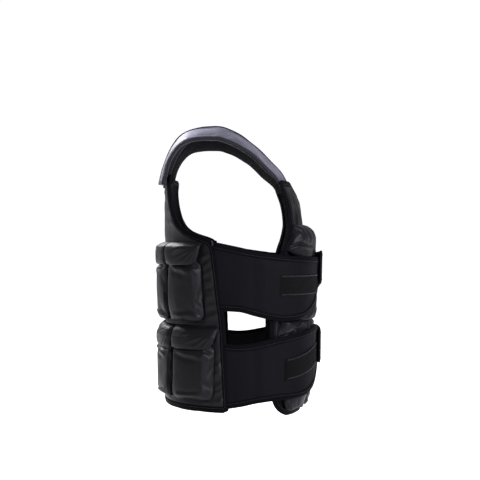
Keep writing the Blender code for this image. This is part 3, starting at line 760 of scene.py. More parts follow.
LAVENDER = (0.80, 0.80, 1.0)
FINISHES = {
    "pocket_cloth": Finish(
        (0.0034, 0.0033, 0.0040), (0.0074, 0.0071, 0.0086), (0.012, 0.012, 0.014), 0.34, 0.46,
        0.0009, 0.00005, 0.030, 0.0006, 0.30, 0.01, LAVENDER, 0.15),
    "panel_cloth": Finish(
        (0.0030, 0.0030, 0.0034), (0.0064, 0.0064, 0.0073), (0.011, 0.011, 0.013), 0.30, 0.42,
        0.0008, 0.00005, 0.024, 0.0006, 0.40, 0.01, LAVENDER, 0.17),
    # The straps' shades are partly painted sheen: lighter than the pockets' black so that the satin looks lit
    # by the high light, on top of the shader's own sheen
    "strap_cloth": Finish(
        (0.016, 0.0156, 0.0192), (0.027, 0.0264, 0.0322), (0.034, 0.034, 0.041), 0.40, 0.50,
        0.0008, 0.00005, 0.034, 0.0006, 0.2, 0.60, LAVENDER, 0.74),
    # The strap tape's shades are partly painted sheen too: lighter than the black edge tape so that it looks
    # lit along the straps
    "strap_tape": Finish(
        (0.0060, 0.0059, 0.0072), (0.011, 0.0107, 0.013), (0.018, 0.018, 0.022), 0.46, 0.58,
        0.0012, 0.00012, 0.010, 0.0003, 0.0, 0.18, LAVENDER, 0.20),
    "belt_neoprene": Finish(
        (0.0025, 0.0025, 0.0035), (0.0040, 0.0040, 0.0055), (0.008, 0.008, 0.010), 0.50, 0.64,
        0.0010, 0.00008, 0.050, 0.0005, 0.0, 0.01, LAVENDER, 0.057),
    "edge_binding": Finish(
        (0.0010, 0.0010, 0.0016), (0.0026, 0.0026, 0.0036), (0.006, 0.006, 0.008), 0.52, 0.66,
        0.0012, 0.00012, 0.010, 0.0003, 0.0, 0.01, LAVENDER, 0.035),
    "loop_fabric": Finish(
        (0.0034, 0.0034, 0.0033), (0.0068, 0.0068, 0.0066), (0.010, 0.010, 0.010), 0.88, 1.0,
        0.0016, 0.00040, 0.006, 0.0006, 0.0, 0.02, (0.7, 0.7, 0.7), 0.045),
    "lining_mesh": Finish(
        (0.0020, 0.0020, 0.0024), (0.0044, 0.0044, 0.0050), (0.007, 0.007, 0.008), 0.70, 0.86,
        0.0024, 0.00035, 0.030, 0.0005, 0.0, 0.01, LAVENDER, 0.05),
}
MADE_FINISHES = {}


def finish(name):
    """The material of a cloth, made when it is first used. A chosen shade takes the other ones with it."""
    if name not in MADE_FINISHES:
        look = FINISHES[name]
        light = tuple(getattr(bpy.context.scene.vest_shades, name, look.light))
        dark, worn = (tuple(c * new / old for c, new, old in zip(shade, light, look.light))
                      for shade in (look.dark, look.worn))
        MADE_FINISHES[name] = cloth_finish(name, look._replace(dark=dark, light=light, worn=worn))
    return MADE_FINISHES[name]


THREADS = {"dark_thread": (0.020, 0.020, 0.024), "pale_thread": (0.045, 0.045, 0.052)}


def thread_finish(name):
    """Twisted polyester thread."""
    if name not in MADE_FINISHES:
        colour = THREADS[name]
        material = bpy.data.materials.new(name)
        material.use_nodes = True
        shader = material.node_tree.nodes["Principled BSDF"]
        t = Tree(material.node_tree)
        place = t.add("ShaderNodeTexCoord").outputs["Object"]
        twist = t.add("ShaderNodeTexWave", {"Vector": place, "Scale": 900.0, "Distortion": 2.0},
                      wave_type="BANDS", bands_direction="DIAGONAL")
        dark = tuple(0.6 * c for c in colour)
        t.put(shader.inputs["Base Color"], t.blend(twist.outputs[1], (*dark, 1), (*colour, 1)))
        t.put(shader.inputs["Roughness"], t.between(twist.outputs[1], 0.55, 0.40))
        bump = t.add("ShaderNodeBump", {"Height": twist.outputs[1], "Distance": 0.0001})
        t.put(shader.inputs["Normal"], bump.outputs[0])
        MADE_FINISHES[name] = material
    return MADE_FINISHES[name]


# Panels

def panel_layout(shape, columns, rows):
    """Flat (arc, height) places of a panel's cloth, from the hem up to the scooped neckline."""
    edges = shape.edges
    low, high = edges[0, 0], edges[-1, 0]
    heights = np.linspace(low, high, rows)
    halves = eased(edges[:, 0], edges[:, 1], heights)
    across = np.linspace(-1, 1, columns)
    arc = halves[:, None] * across[None]
    height = np.repeat(heights[:, None], columns, axis=1)
    scoop_from = edges[-3, 0]
    lift = np.clip((height - scoop_from) / (high - scoop_from), 0, 1)
    height = height - shape.scoop * np.clip(1 - np.abs(arc / SCOOP_REACH) ** 2.5, 0, 1) * lift
    up = np.clip(1 - (height - low) / 0.02, 0, 1)
    height = height + shape.hem_arch * (1 - across[None] ** 2) * up
    return np.stack([arc, height], axis=-1)


def under_pockets(side, arc, height):
    """1 where a pocket covers the panel, 0 clear of them."""
    covered = np.zeros(len(arc))
    for row in POCKET_ROWS:
        if row.side == side:
            reach = (row.count * row.pitch - POCKET_GROOVE) / 2
            inside = smoothstep(reach + 0.001, reach - 0.004, np.abs(arc))
            inside = inside * smoothstep(row.foot - 0.006, row.foot + 0.002, height)
            covered = np.maximum(covered, inside * smoothstep(row.seam + 0.004, row.seam - 0.004, height))
    return covered


YOKE_FOLDS = (  # on the front panel above its pockets: rise, start, end and width, in metres
    (0.0016, (0.103, -0.092), (0.086, -0.165), 0.0060),
    (0.0012, (0.112, -0.120), (0.100, -0.185), 0.0040),
    (-0.0014, (0.094, -0.100), (0.100, -0.175), 0.0050),
    (0.0013, (0.080, -0.110), (0.062, -0.160), 0.0055),
)


def neckline_thinning(height):
    """The share by which the front panel is thinner towards its neckline."""
    return 0.35 * smoothstep(-0.110, -0.088, height)


def panel_relief(side, flat, inset):
    """How far a panel's outside stands proud of its plain wall, inset metres from its edge: folds where it is
    clear, puckers beside the back's outermost pockets, and pressed flat under the pockets."""
    arc, height = flat[:, 0], flat[:, 1]
    covered = under_pockets(side, arc, height)
    clear = (1 - covered) * smoothstep(0.0018, 0.0042, inset)
    if side == "back":
        beside = smoothstep(0.178, 0.190, np.abs(arc)) * smoothstep(-0.19, -0.21, height)
        folds = 0.0014 * soft_noise(flat, (0.050, 0.030, 1), 12)
        folds = folds + 0.0010 * creases(flat, (0.055, 0.020, 1), 13)
        slanted = np.column_stack([arc, height - 0.55 * np.abs(arc), np.zeros(len(arc))])
        puckers = 0.0030 * creases(slanted, (0.030, 0.0125, 1), 11) * beside
        return clear * (folds + puckers) - 0.0006 * covered
    yoke = smoothstep(-0.215, -0.180, height)
    foot = smoothstep(-0.440, -0.455, height)
    folds = 0.0010 * creases(flat, (0.018, 0.060, 1), 21) + 0.0005 * soft_noise(flat, (0.010, 0.014, 1), 22)
    folds = folds + 0.0015 * soft_noise(flat, (0.022, 0.050, 1), 23)
    drawn = folds_at(np.abs(arc), height, YOKE_FOLDS)
    thinner = PANEL_WALL * neckline_thinning(height)
    return clear * (folds * (0.7 + 0.3 * yoke + 0.8 * foot) + drawn) - 0.0008 * covered - thinner


def make_panel(side):
    """A panel's cloth, its edge tape and the tape's stitches."""
    shape = PANELS[side]
    columns, rows = 150, 136
    layout = panel_layout(shape, columns, rows)
    spots = layout.reshape(-1, 2)
    flat = np.column_stack([spots, np.zeros(len(spots))])
    inner = raised(flat, 0.0003 * np.clip(soft_noise(flat, 0.02, 5), 0, 1))
    widest = np.repeat(np.abs(layout[:, -1, 0]), columns)
    inset = np.minimum.reduce([widest - np.abs(spots[:, 0]), spots[:, 1] - shape.edges[0, 0] - shape.hem_arch,
                               np.tile(layout[-1, :, 1], rows) - spots[:, 1]])
    outer = raised(flat, PANEL_WALL + panel_relief(side, flat, inset))
    both = np.vstack([inner, outer])
    faces = shell_faces(rows, columns)
    cloth = make_piece(
        f"{side}_panel_cloth", FORM_TABLE.wrap(side, both), faces, finish("panel_cloth"), flat=both,
        stands_for=(f"{side}_panel",),
        lining=np.arange(len(faces)) < (rows - 1) * (columns - 1),
    )
    outline = softened(even_line(spots[rim_of(rows, columns)], 0.0032, closed=True), 2, closed=True)
    wall = np.full(len(outline), PANEL_WALL)
    if side == "front":
        wall = wall * (1 - neckline_thinning(outline[:, 1]))
    make_tape(f"{side}_panel", side, outline, np.zeros(len(outline)), wall, closed=True)


# An edge tape's section: metres past the cloth's edge, and from the wall's inside (0) to its outside (1)
TAPE_SECTION = np.array((
    (-0.0022, 1.02), (-0.0018, 1.0), (0.0012, 1.0), (0.0045, 0.98), (0.0068, 0.88), (0.0079, 0.66),
    (0.0082, 0.50), (0.0079, 0.34), (0.0068, 0.12), (0.0045, 0.02), (0.0012, 0.0), (-0.0018, 0.0),
    (-0.0022, -0.02),
))


def make_tape(name, side, outline, standoff, wall, closed):
    """A folded edge tape round an outline, with a row of stitches inside its edge, both sides."""
    props = bpy.context.scene.vest_details
    proud = props.tape_proud
    out = out_of_line(outline, closed)
    count = len(outline)
    travel = np.cumsum(np.linalg.norm(np.diff(outline, axis=0, prepend=outline[:1]), axis=1))
    along = np.column_stack([travel, np.zeros(count), np.zeros(count)])
    wave = 0.00045 * soft_noise(along, 0.030, 31) + 0.00022 * soft_noise(along, 0.009, 32)
    pucker = 0.00028 * soft_noise(along, 0.006, 33)
    section = []
    for past, share in TAPE_SECTION:
        edge = outline + out * (past + wave * (past > 0.003))[:, None]
        lift = standoff - proud + (wall + 2 * proud) * share + pucker * (abs(share - 0.5) > 0.4)
        if abs(share) < 0.01 or abs(share - 1) < 0.01:
            lift = lift + (proud * 0.5 if share > 0.5 else -proud * 0.5)
        section.append(np.column_stack([edge, lift]))
    rings = np.stack(section, axis=1)
    columns = len(TAPE_SECTION)
    flat = rings.reshape(-1, 3)
    lay = np.column_stack([
        np.repeat(travel, columns), np.tile(TAPE_SECTION[:, 0] + TAPE_SECTION[:, 1] * 0.004, count),
        np.zeros(len(flat))])
    tape = make_piece(f"{name}_tape", FORM_TABLE.wrap(side, flat), tube_faces(count, columns, closed),
                      finish("edge_binding"), flat=lay,
                      seam=np.tile(bump_at(TAPE_SECTION[:, 1], 0.5, 0.25), count),
                      stands_for=(f"{name}_binding",))
    line = outline + out * 0.0006
    if closed:
        line = np.vstack([line, line[:1]])
    rise = np.append(standoff, standoff[0]) if closed else standoff
    thick = np.append(wall, wall[0]) if closed else wall
    runs = []
    for lift, way in ((rise + thick + proud * 1.5, 1), (rise - proud * 1.5, -1)):
        starts, ends, outs = stitch_run(*wrapped_line(side, np.column_stack([line, lift])))
        runs.append((starts, ends, outs * way))
    make_stitches(f"{name}_tape_stitches", runs, "dark_thread", props.stitch_thickness)
    return tape


def make_bartacks():
    """A knot of close stitches at each armhole corner, where the upper belt meets the back panel."""
    turn = np.linspace(-0.0042, 0.0042, 9)
    across = np.where(np.arange(9) % 2 == 0, -1, 1) * 0.0017
    runs = [zigzag_run("back", np.column_stack([way * (0.2030 + across), -0.1835 + turn,
                                                np.full(9, PANEL_WALL + 0.0022)])) for way in (-1, 1)]
    make_stitches("armhole_bartacks", runs, "dark_thread", 0.0011)


# Pockets and flaps

def flap_inside(row, height):
    """How far a flap's inner face stands off the panel at a height below its seam."""
    full = row.under_flap
    places = (row.flap_end, row.seam - 0.5 * row.flap_length, row.seam - 0.95 * row.lead,
              row.seam - 0.25 * row.lead, row.seam)
    return eased(places, (full + 0.0020, full + 0.0014, full - 0.0008, 0.45 * full, 0.0), height)


def pocket_start(row):
    """A pocket's boxy shape before its cloth is simulated, centred on its own middle, base at zero."""
    half = row.half - 0.0012
    tall = row.tall - 0.0010
    columns, rows = 25, 41
    u, v = np.meshgrid(np.linspace(-1, 1, columns), np.linspace(-1, 1, rows))
    reach = np.maximum(np.abs(u), np.abs(v))
    spread = (np.abs(u) ** 9 + np.abs(v) ** 9) ** (1 / 9)
    shrink = np.where(reach > 0, reach / np.maximum(spread, 1e-9), 1)
    x, y = u * shrink * half, v * shrink * tall
    flap_end = (row.flap_end - row.middle) / tall
    fall = smoothstep(flap_end + 0.04, flap_end - 0.16, v)
    share = FLAP_OVER_SHARE - 0.06 + (1 - FLAP_OVER_SHARE + 0.06) * fall
    depth = (row.depth - 0.0022) * share * (1 - 0.30 * reach ** 16)
    belly = 1 + 0.05 * np.cos(v * 1.3 + 0.4) * np.cos(u * 1.2)
    lower = np.column_stack([x.ravel(), y.ravel(), np.zeros(x.size)])
    upper = np.column_stack([x.ravel(), y.ravel(), (depth * belly).ravel()])
    return np.vstack([lower, upper]), shell_faces(rows, columns)


def pocket_edge(row, points):
    """From 0 in a pocket's middle to 1 at its rounded outline."""
    return (np.abs(points[:, 0] / row.half) ** 7 + np.abs(points[:, 1] / row.tall) ** 7) ** (1 / 7)


POCKET_TUCKS = (  # in shares of the pocket's half width and half height, but rise in metres
    (0.0016, (-0.95, 0.58), (0.45, 0.34), 0.07),
    (-0.0014, (-0.80, 0.42), (0.30, 0.24), 0.08),
    (0.0012, (0.10, 0.46), (0.62, 0.30), 0.05),
    (0.0010, (-0.7, -0.86), (0.5, -0.80), 0.05),
    (-0.0010, (-0.6, -0.74), (0.5, -0.70), 0.06),
)


def pocket_relief(row, points, seed, outward):
    """Folds in a filled pocket's cloth: sagging creases, pulled corners and slack cloth below the flap."""
    u, v = points[:, 0] / row.half, points[:, 1] / row.tall
    edge = pocket_edge(row, points)
    face = smoothstep(0.003, 0.009, points[:, 2])
    flat = points + np.array((seed * 0.31, 0, 0))
    slack = 0.0008 * creases(flat, (0.060, 0.022, 1), 40 + seed) * smoothstep(0.3, 0.9, np.abs(v + 0.10))
    slack = slack + 0.0013 * soft_noise(flat, (0.030, 0.050, 1), 60 + seed)
    pulls = 0.0009 * soft_noise(flat, (0.011, 0.020, 1), 80 + seed) * smoothstep(0.70, 0.95, edge)
    a = u * (outward or (1 if seed % 2 else -1))
    tucks = folds_at(a, v, POCKET_TUCKS)
    if row.side == "front" and row.level == "lower":
        foot = smoothstep(-0.70, -0.90, v)
        crumple = creases(flat, (0.020, 0.006, 1), 90 + seed)
        crumple = crumple + 0.8 * creases(flat, (0.009, 0.012, 1), 95 + seed)
        tucks = tucks + 0.0016 * foot * crumple
    if outward:
        start = GUSSET_FROM[row.level]
        tucks = tucks + folds_at(a, v, (
            (-0.0026, (start - 0.06, 0.60), (1.02, 0.36), 0.045),
            (0.0016, (start - 0.02, 0.46), (1.00, 0.20), 0.06),
            (-0.0016, (start + 0.03, -0.45), (0.98, -0.62), 0.07),
            (0.0014, (start, -0.62), (start + 0.16, -0.92), 0.05),
        )) + 0.0007 * bump_at(a, start, 0.035) * smoothstep(0.95, 0.80, np.abs(v))
    return face * (slack + pulls + tucks)


def boxy(row, points, full, outward):
    """A simulated pad's heights with a packed weight's flat face and a gusset on its outer side."""
    share = np.clip(points[:, 2] / full, 0, 1.12)
    share = np.where(share < 1, 1 - np.clip(1 - share, 0, 1) ** 1.45, share)
    if outward:
        start = GUSSET_FROM[row.level]
        share = share * (1 - 0.66 * np.clip((points[:, 0] * outward / row.half - start) / (1 - start), 0, 1))
    if row.side == "back":
        low = -points[:, 1] / row.tall
        share = share * (1 - (0.20 if row.level == "upper" else 0.45) * np.clip((low - 0.84) / 0.16, 0, 1))
    return share * row.depth


def fitted_front(row, points, arc, height, fullness):
    """A front pocket's heights and fullness: free of the belts at its foot, where it sags, and fuller
    between them."""
    free = smoothstep(-0.430, -0.446, height)
    fullness = fullness + free * (FRONT_FOOT_FULLNESS - fullness) * smoothstep(0.148, 0.130, np.abs(arc))
    sag = 0.0135 if row.level == "lower" else 0.0035
    height = height - sag * smoothstep(-0.55, -1.0, points[:, 1] / row.tall)
    if row.level == "upper":
        below = belt_edge("upper", "right", BELT_GIRTH - np.abs(arc))[1] - BINDING_REACH - height
        points[:, 2] += 0.0055 * smoothstep(0.003, 0.018, below) * smoothstep(0.004, 0.012, points[:, 2])
    return height, fullness


def make_pockets():
    """Every pocket, its cloth simulated flat and then wrapped round the body."""
    keys = [(row, k, r * 7 + k) for r, row in enumerate(POCKET_ROWS) for k in range(row.count)]
    voxel = bpy.context.scene.vest_details.pocket_voxel
    pads = swell([pocket_start(row) for row, k, seed in keys], voxel, lambda p: p[:, 2] < 0.0022, 0.0055)
    for (row, k, seed), (points, faces) in zip(keys, pads):
        outward = row.outward(k) * (row.side == "back")
        points[:, 2] = boxy(row, points, np.percentile(points[:, 2], 96), outward)
        points[:, 2] += pocket_relief(row, points, seed, outward)
        arc, height = points[:, 0] + row.centre(k), points[:, 1] + row.middle
        tucked = smoothstep(row.flap_end - 0.002, row.flap_end + 0.010, height)
        arc = arc - outward * tucked * 0.24 * np.clip(points[:, 0] * outward, 0, None)
        fullness = press(row.side, arc)
        if row.side == "front":
            height, fullness = fitted_front(row, points, arc, height, fullness)
        under = smoothstep(row.flap_end - 0.004, row.flap_end + 0.004, height)
        limit = flap_inside(row, height) * (0.80 if row.side == "back" else 1.0) - 0.0008
        held = np.minimum(points[:, 2], limit * under + points[:, 2] * (1 - under))
        rise = np.where(under > 0, held, points[:, 2])
        flat = np.column_stack([arc, height, PANEL_WALL + SEAT * 0.5 + rise * fullness])
        name = f"{row.side}_pocket_{row.level}_{k + 1}"
        pocket = make_piece(
            f"{name}_pad", FORM_TABLE.wrap(row.side, flat), faces, finish("pocket_cloth"), flat=flat,
            seam=bump_at(pocket_edge(row, points), 0.93, 0.05), stands_for=(name,))


DRAPE_FOLDS = {  # on the outermost front flaps, down to the panel: rise, start, end and width, in metres
    "upper": (
        (0.0024, (0.144, -0.2000), (0.119, -0.1880), 0.0022),
        (0.0024, (0.122, -0.1885), (0.082, -0.1930), 0.0024),
        (-0.0026, (0.142, -0.1945), (0.118, -0.1830), 0.0020),
        (-0.0026, (0.121, -0.1832), (0.078, -0.1880), 0.0022),
        (0.0018, (0.138, -0.1885), (0.108, -0.1765), 0.0024),
        (-0.0022, (0.116, -0.1560), (0.108, -0.1780), 0.0026),
        (0.0016, (0.108, -0.1570), (0.096, -0.1780), 0.0034),
        (0.0014, (0.090, -0.1580), (0.080, -0.1800), 0.0040),
    ),
    "lower": (
        (-0.0060, (0.149, -0.3430), (0.124, -0.3290), 0.0024),
        (-0.0050, (0.130, -0.3385), (0.106, -0.3240), 0.0020),
        (0.0030, (0.146, -0.3370), (0.112, -0.3200), 0.0024),
        (0.0026, (0.142, -0.3450), (0.116, -0.3320), 0.0022),
        (0.0020, (0.100, -0.3320), (0.082, -0.3190), 0.0036),
        (-0.0018, (0.096, -0.3350), (0.076, -0.3230), 0.0030),
    ),
}
# Gathers that fan out from a flap's sewn corner: their lean in radians and their height against the tallest
GATHERS = ((0.10, 0.7), (0.30, 1.0), (0.52, 0.8), (0.80, 1.0), (1.10, 0.7))


def make_flap(row, k, seed):
    """A padded flap over a pocket's mouth. The outermost front ones drape to the panel at the side."""
    shape = FLAP_SHAPES[row.side, row.level]
    front = row.side == "front"
    outer = row.outward(k)
    columns, rows = (111, 71) if front and outer else (61, 33)
    s, t = np.meshgrid(np.linspace(-1, 1, columns), np.linspace(0, 1, rows))
    toward = np.clip(s * outer, 0, 1)
    skirt = shape.skirt * toward ** 2 * (smoothstep(0.15, 0.75, t) if front else 1 - 0.3 * t)
    half = (row.pitch - FLAP_GROOVE) / 2
    narrowing = 0.0 if front else 0.13
    arc = row.centre(k) + s * (half * (1 - 0.05 * t ** 2 - narrowing * toward * t ** 1.2) + skirt)
    rounding = 0.07 + (0.20 if outer else 0.0) * toward
    end = 1 - rounding * np.clip((np.abs(s) - 0.45) / 0.55, 0, 1) ** 2
    height = row.seam + shape.raised * (1 - t) - row.flap_length * t * end
    if front:
        limit = np.interp(height, FRONT_EDGES[:, 0], FRONT_EDGES[:, 1]) - 0.001
        arc = np.sign(arc) * np.minimum(np.abs(arc), limit)
        inner = row.under_flap * rounded(np.clip(t / shape.dome, 0, 1)) + 0.0010 * t
        inner = inner * (1 - toward ** (10 - 7 * smoothstep(0.2, 0.7, t)) * 0.97)
    else:
        inner = flap_inside(row, height.ravel()).reshape(height.shape) * shape.hug
    plump = rounded(np.clip(np.minimum(1 - np.abs(s), 1 - t) / 0.26, 0, 1))
    places = np.column_stack([arc.ravel(), height.ravel(), np.zeros(arc.size)])
    dents = soft_noise(places, (0.020, 0.012, 1), 120 + seed).reshape(arc.shape)
    slow = soft_noise(places, 0.026, 140 + seed).reshape(arc.shape)
    gathers = folds_at(s * (outer or (1 if seed % 2 else -1)), t, [
        (tall, (0.98, 0.06 + 0.05 * n), (0.98 - 1.25 * np.cos(lean), 0.10 + 1.25 * np.sin(lean)), 0.05)
        for n, (lean, tall) in enumerate(GATHERS)])
    sewn = smoothstep(0.0, 0.18, t)
    folds = 0.0008 * dents + 0.0014 * slow + 0.0012 * gathers * (0.5 if front else 1.0)
    thick = 0.0012 + shape.padding * plump * (0.35 + 0.65 * sewn)
    thick = thick + folds * np.maximum(plump, 0.6 * toward * front) * sewn
    if front and outer:
        drape = folds_at(np.abs(arc), height, DRAPE_FOLDS[row.level])
        thick = thick + drape * smoothstep(0.0, 0.06, 1 - np.abs(s))
    droop = 0.0016 * np.abs(s) ** 4 * smoothstep(0.3, 1, t) + 0.0014 * slow * t * (1 - toward * front)
    fullness = press(row.side, arc.ravel()).reshape(arc.shape)
    low = PANEL_WALL + SEAT + np.maximum(inner - droop, 0) * fullness
    lean = np.clip(1 - t / 0.18, 0, 1)
    both = np.vstack([np.column_stack([c.ravel() for c in side]) for side in (
        (arc, height, low), (arc, height + thick * 0.8 * lean, low + thick * (1 - 0.5 * lean)))])
    name = f"{row.side}_flap_{row.level}_{k + 1}"
    seam = smoothstep(0.90, 1.0, np.maximum(np.abs(s), t).ravel())
    flap = make_piece(f"{name}_pad", FORM_TABLE.wrap(row.side, both), shell_faces(rows, columns),
                      finish("pocket_cloth"), flat=both, seam=np.tile(seam, 2), stands_for=(name,))


# Belts and patches

def belt_edge(level, side, arc):
    """Top and bottom of a belt's cloth and its stand-off, at arcs along it."""
    table = np.array(BELTS[level, side])
    top = eased(table[:, 0], table[:, 1], arc) - BINDING_REACH
    bottom = eased(table[:, 0], table[:, 2], arc) + BINDING_REACH
    off = eased(BELT_RISE[:, 0], BELT_RISE[:, 1], arc)
    if side == "left":
        off = off + eased(LAP_RISE[:, 0], LAP_RISE[:, 1], arc)
    return top, bottom, off


def belt_layout(level, side, columns, rows):
    """Flat (arc, height, stand-off) places of a belt's cloth, from the back panel's edge to its tab."""
    table = np.array(BELTS[level, side])
    first, last = table[0, 0], table[-1, 0] - BINDING_REACH
    arcs = np.linspace(first, last, columns)
    top, bottom, off = belt_edge(level, side, arcs)
    v = np.linspace(0, 1, rows)[:, None]
    height = bottom + (top - bottom) * v
    seam = np.interp(height, BACK_EDGES[:, 0], BACK_EDGES[:, 1]) + BINDING_REACH - SEWN_UNDER
    seam = seam * BELT_GIRTH / FORM_TABLE.girth(height)
    arc = arcs[None] + (seam - first) * np.clip(1 - (arcs[None] - first) / 0.022, 0, 1)
    return np.stack([arc, height, np.repeat(off[None], rows, axis=0)], axis=-1)


def make_belt(level, side):
    """A neoprene belt, its edge tape and stitches."""
    columns, rows = 150, 34
    layout = belt_layout(level, side, columns, rows)
    flat = layout.reshape(-1, 3)
    seed = 200 + 10 * (level == "upper") + (side == "left")
    ripple = 0.0009 * soft_noise(flat * (1, 1, 0), (0.035, 0.060, 1), seed)
    pull = 0.0006 * creases(flat * (1, 1, 0), (0.030, 0.090, 1), seed + 3)
    pull = pull * smoothstep(0.27, 0.33, flat[:, 0])
    share = np.repeat(np.linspace(0, 1, rows), columns)
    relief = (ripple + pull) * smoothstep(0.0, 0.12, np.minimum(share, 1 - share))
    both = np.vstack([raised(flat, relief), raised(flat, relief + BELT_WALL)])
    name = f"belt_{level}_{side}"
    way = f"belt_{side}"
    belt = make_piece(f"{name}_neoprene", FORM_TABLE.wrap(way, both), shell_faces(rows, columns),
                      finish("belt_neoprene"), flat=both, stands_for=(name,))
    make_belt_tape(name, way, layout)


def make_belt_tape(name, way, layout):
    """Tape along a belt's bottom, round its tab and back along its top."""
    line = np.vstack([layout[0], layout[1:-1, -1], layout[-1, ::-1]])
    line = softened(even_line(line, 0.0035), 3, closed=False)
    return make_tape(name, way, line[:, :2], line[:, 2], np.full(len(line), BELT_WALL), closed=False)


def patch_place(level, arc, share):
    """Flat places on a right belt's outside, inside its patch."""
    table = PATCHES[level]
    top, bottom = (eased(table[:, 0], table[:, k], arc) for k in (1, 2))
    height = bottom + (top - bottom) * share
    return np.column_stack([arc, height, belt_edge(level, "right", arc)[2] + BELT_WALL])


def make_patch(level):
    """A loop patch with rounded edges, sewn down with a zigzag along its top and bottom."""
    columns, rows = 90, 36
    table = PATCHES[level]
    arcs, shares = np.meshgrid(np.linspace(table[0, 0], table[-1, 0], columns), np.linspace(0, 1, rows))
    base = patch_place(level, arcs.ravel(), shares.ravel())
    rim = np.minimum(np.minimum(shares, 1 - shares) * PATCH_HEIGHT,
                     np.minimum(arcs - table[0, 0], table[-1, 0] - arcs)).ravel()
    pile = 0.0003 + 0.0013 * np.sqrt(np.clip(rim / 0.002, 0, 1)) + 0.00022 * soft_noise(base, 0.0035, 301)
    pile = pile - 0.0007 * bump_at(rim, 0.0026, 0.0012)
    both = np.vstack([raised(base, 0.0002), raised(base, pile)])
    name = f"loop_patch_{level}_right"
    patch = make_piece(f"{name}_pile", FORM_TABLE.wrap("belt_right", both), shell_faces(rows, columns),
                       finish("loop_fabric"), flat=both, stands_for=(name,))
    props = bpy.context.scene.vest_details
    runs = []
    for share in (0.07, 0.93):
        count = int((table[-1, 0] - table[0, 0] - 0.006) / props.zigzag_pitch) * 2
        at = np.linspace(table[0, 0] + 0.003, table[-1, 0] - 0.003, count)
        swing = np.where(np.arange(count) % 2 == 0, -1, 1) * props.zigzag_width / 2 / PATCH_HEIGHT
        runs.append(zigzag_run("belt_right", raised(patch_place(level, at, share + swing), 0.0016)))
    stitches = make_stitches(f"{name}_zigzag", runs, "pale_thread", props.stitch_thickness)


# Shoulder straps

class StrapLine:
    """Frames along a strap's underside: flat (across, along, up) places go to points in space."""

    def __init__(self):
        path = STRAP_PATH
        travel = np.concatenate([[0], np.cumsum(np.hypot(np.diff(path[:, 0]), np.diff(path[:, 1])))])
        self.length = travel[-1]
        self.at = np.linspace(0, self.length, 400)
        y, z, slope, thick = (eased(travel, path[:, k], self.at) for k in range(4))
        smooth = np.exp(-np.linspace(-2, 2, 25) ** 2)
        smooth /= smooth.sum()
        ends = 12
        y, z = (np.concatenate([2 * c[0] - c[ends:0:-1], c, 2 * c[-1] - c[-2:-ends - 2:-1]]) for c in (y, z))
        y, z = (np.convolve(c, smooth, mode="valid") for c in (y, z))
        along = np.column_stack([np.gradient(y), np.gradient(z)])
        along /= np.linalg.norm(along, axis=1)[:, None]
        self.spot = np.column_stack([np.zeros(400), y, z])
        self.out = np.column_stack([np.zeros(400), along[:, 1], -along[:, 0]])
        self.slope, self.thick = np.radians(slope), thick

    def sample(self, table, at):
        """A table's values at distances along the strap."""
        if table.ndim == 1:
            return np.interp(at, self.at, table)
        return np.column_stack([np.interp(at, self.at, table[:, k]) for k in range(3)])

    def wrap(self, way, flat):
        """Points in space. Up is a share of the strap's own thickness there."""
        across, at, up = flat.T
        tail = smoothstep(self.length - 0.055, self.length, at)
        across = across * (1 - 0.22 * tail) - 0.006 * tail
        thinned = 0.48 * np.clip(np.abs(across) / (STRAP_WIDTH / 2), 0, 1.05) ** 4
        up = 1 - (1 - up) * (1 - thinned) * (1 - 0.62 * tail)
        spot, out, slope, thick = (self.sample(t, at) for t in (self.spot, self.out, self.slope, self.thick))
        sideways = np.array((way, 0.0, 0.0))
        wide = sideways * np.cos(slope)[:, None] - out * np.sin(slope)[:, None]
        high = out * np.cos(slope)[:, None] + sideways * np.sin(slope)[:, None]
        return spot + sideways * STRAP_OUT + wide * across[:, None] + high * (up * thick)[:, None]


STRAP_LINE = StrapLine()


def strap_start():
    """A strap's pad before its cloth is simulated, flat and centred."""
    columns, rows = 17, 75
    half = STRAP_WIDTH / 2 - 0.0012
    u, v = np.meshgrid(np.linspace(-1, 1, columns), np.linspace(0, 1, rows))
    thick = 0.0078 * (1 - 0.30 * np.abs(u) ** 6)
    x, y = u * half, (v - 0.5) * (STRAP_LINE.length - 0.004)
    lower = np.column_stack([x.ravel(), y.ravel(), (-thick / 2).ravel()])
    upper = np.column_stack([x.ravel(), y.ravel(), (thick / 2).ravel()])
    return np.vstack([lower, upper]), shell_faces(rows, columns)


def make_straps():
    """Both padded shoulder straps: the pad simulated flat, tape along both edges, and topstitching."""
    start = strap_start()
    pads = swell([start, start], 0.0042, lambda p: np.abs(p[:, 0]) > STRAP_WIDTH / 2 - 0.008, 0.0025)
    for (side, way), (points, faces), seed in zip((("left", 1), ("right", -1)), pads, (401, 402)):
        across = points[:, 0] / (STRAP_WIDTH / 2)
        up = points[:, 2] / np.percentile(points[:, 2], 98) / 2
        calm = 0.60 * smoothstep(0.97, 0.82, np.abs(across))
        up = up + calm * (np.sign(up) * (0.49 - 0.07 * across ** 4) - up)
        folds = 0.05 * creases(points, (0.040, 0.013, 1), seed) + 0.05 * soft_noise(points, 0.030, seed + 4)
        groove = 0.10 * bump_at(np.abs(points[:, 0]), STRAP_WIDTH / 2 - 0.0086, 0.0014)
        puckers = 0.06 * creases(points, (0.007, 0.010, 1), seed + 8) * smoothstep(0.45, 0.80, np.abs(across))
        up = up * (1 + (folds - groove + puckers) * (np.abs(across) < 0.9)) + 0.5
        at = np.clip(points[:, 1] + STRAP_LINE.length / 2, 0.0, STRAP_LINE.length)
        name = f"shoulder_strap_{side}"
        strap = make_piece(
            f"{name}_pad", STRAP_LINE.wrap(way, np.column_stack([points[:, 0], at, up])), faces,
            finish("strap_cloth"), flat=np.column_stack([points[:, 0], at, up * STRAP_THICK]),
            seam=smoothstep(0.75, 0.95, np.abs(across)), stands_for=(name,),
            lining=up[faces].mean(axis=1) < 0.5)
        make_strap_tapes(name, way)


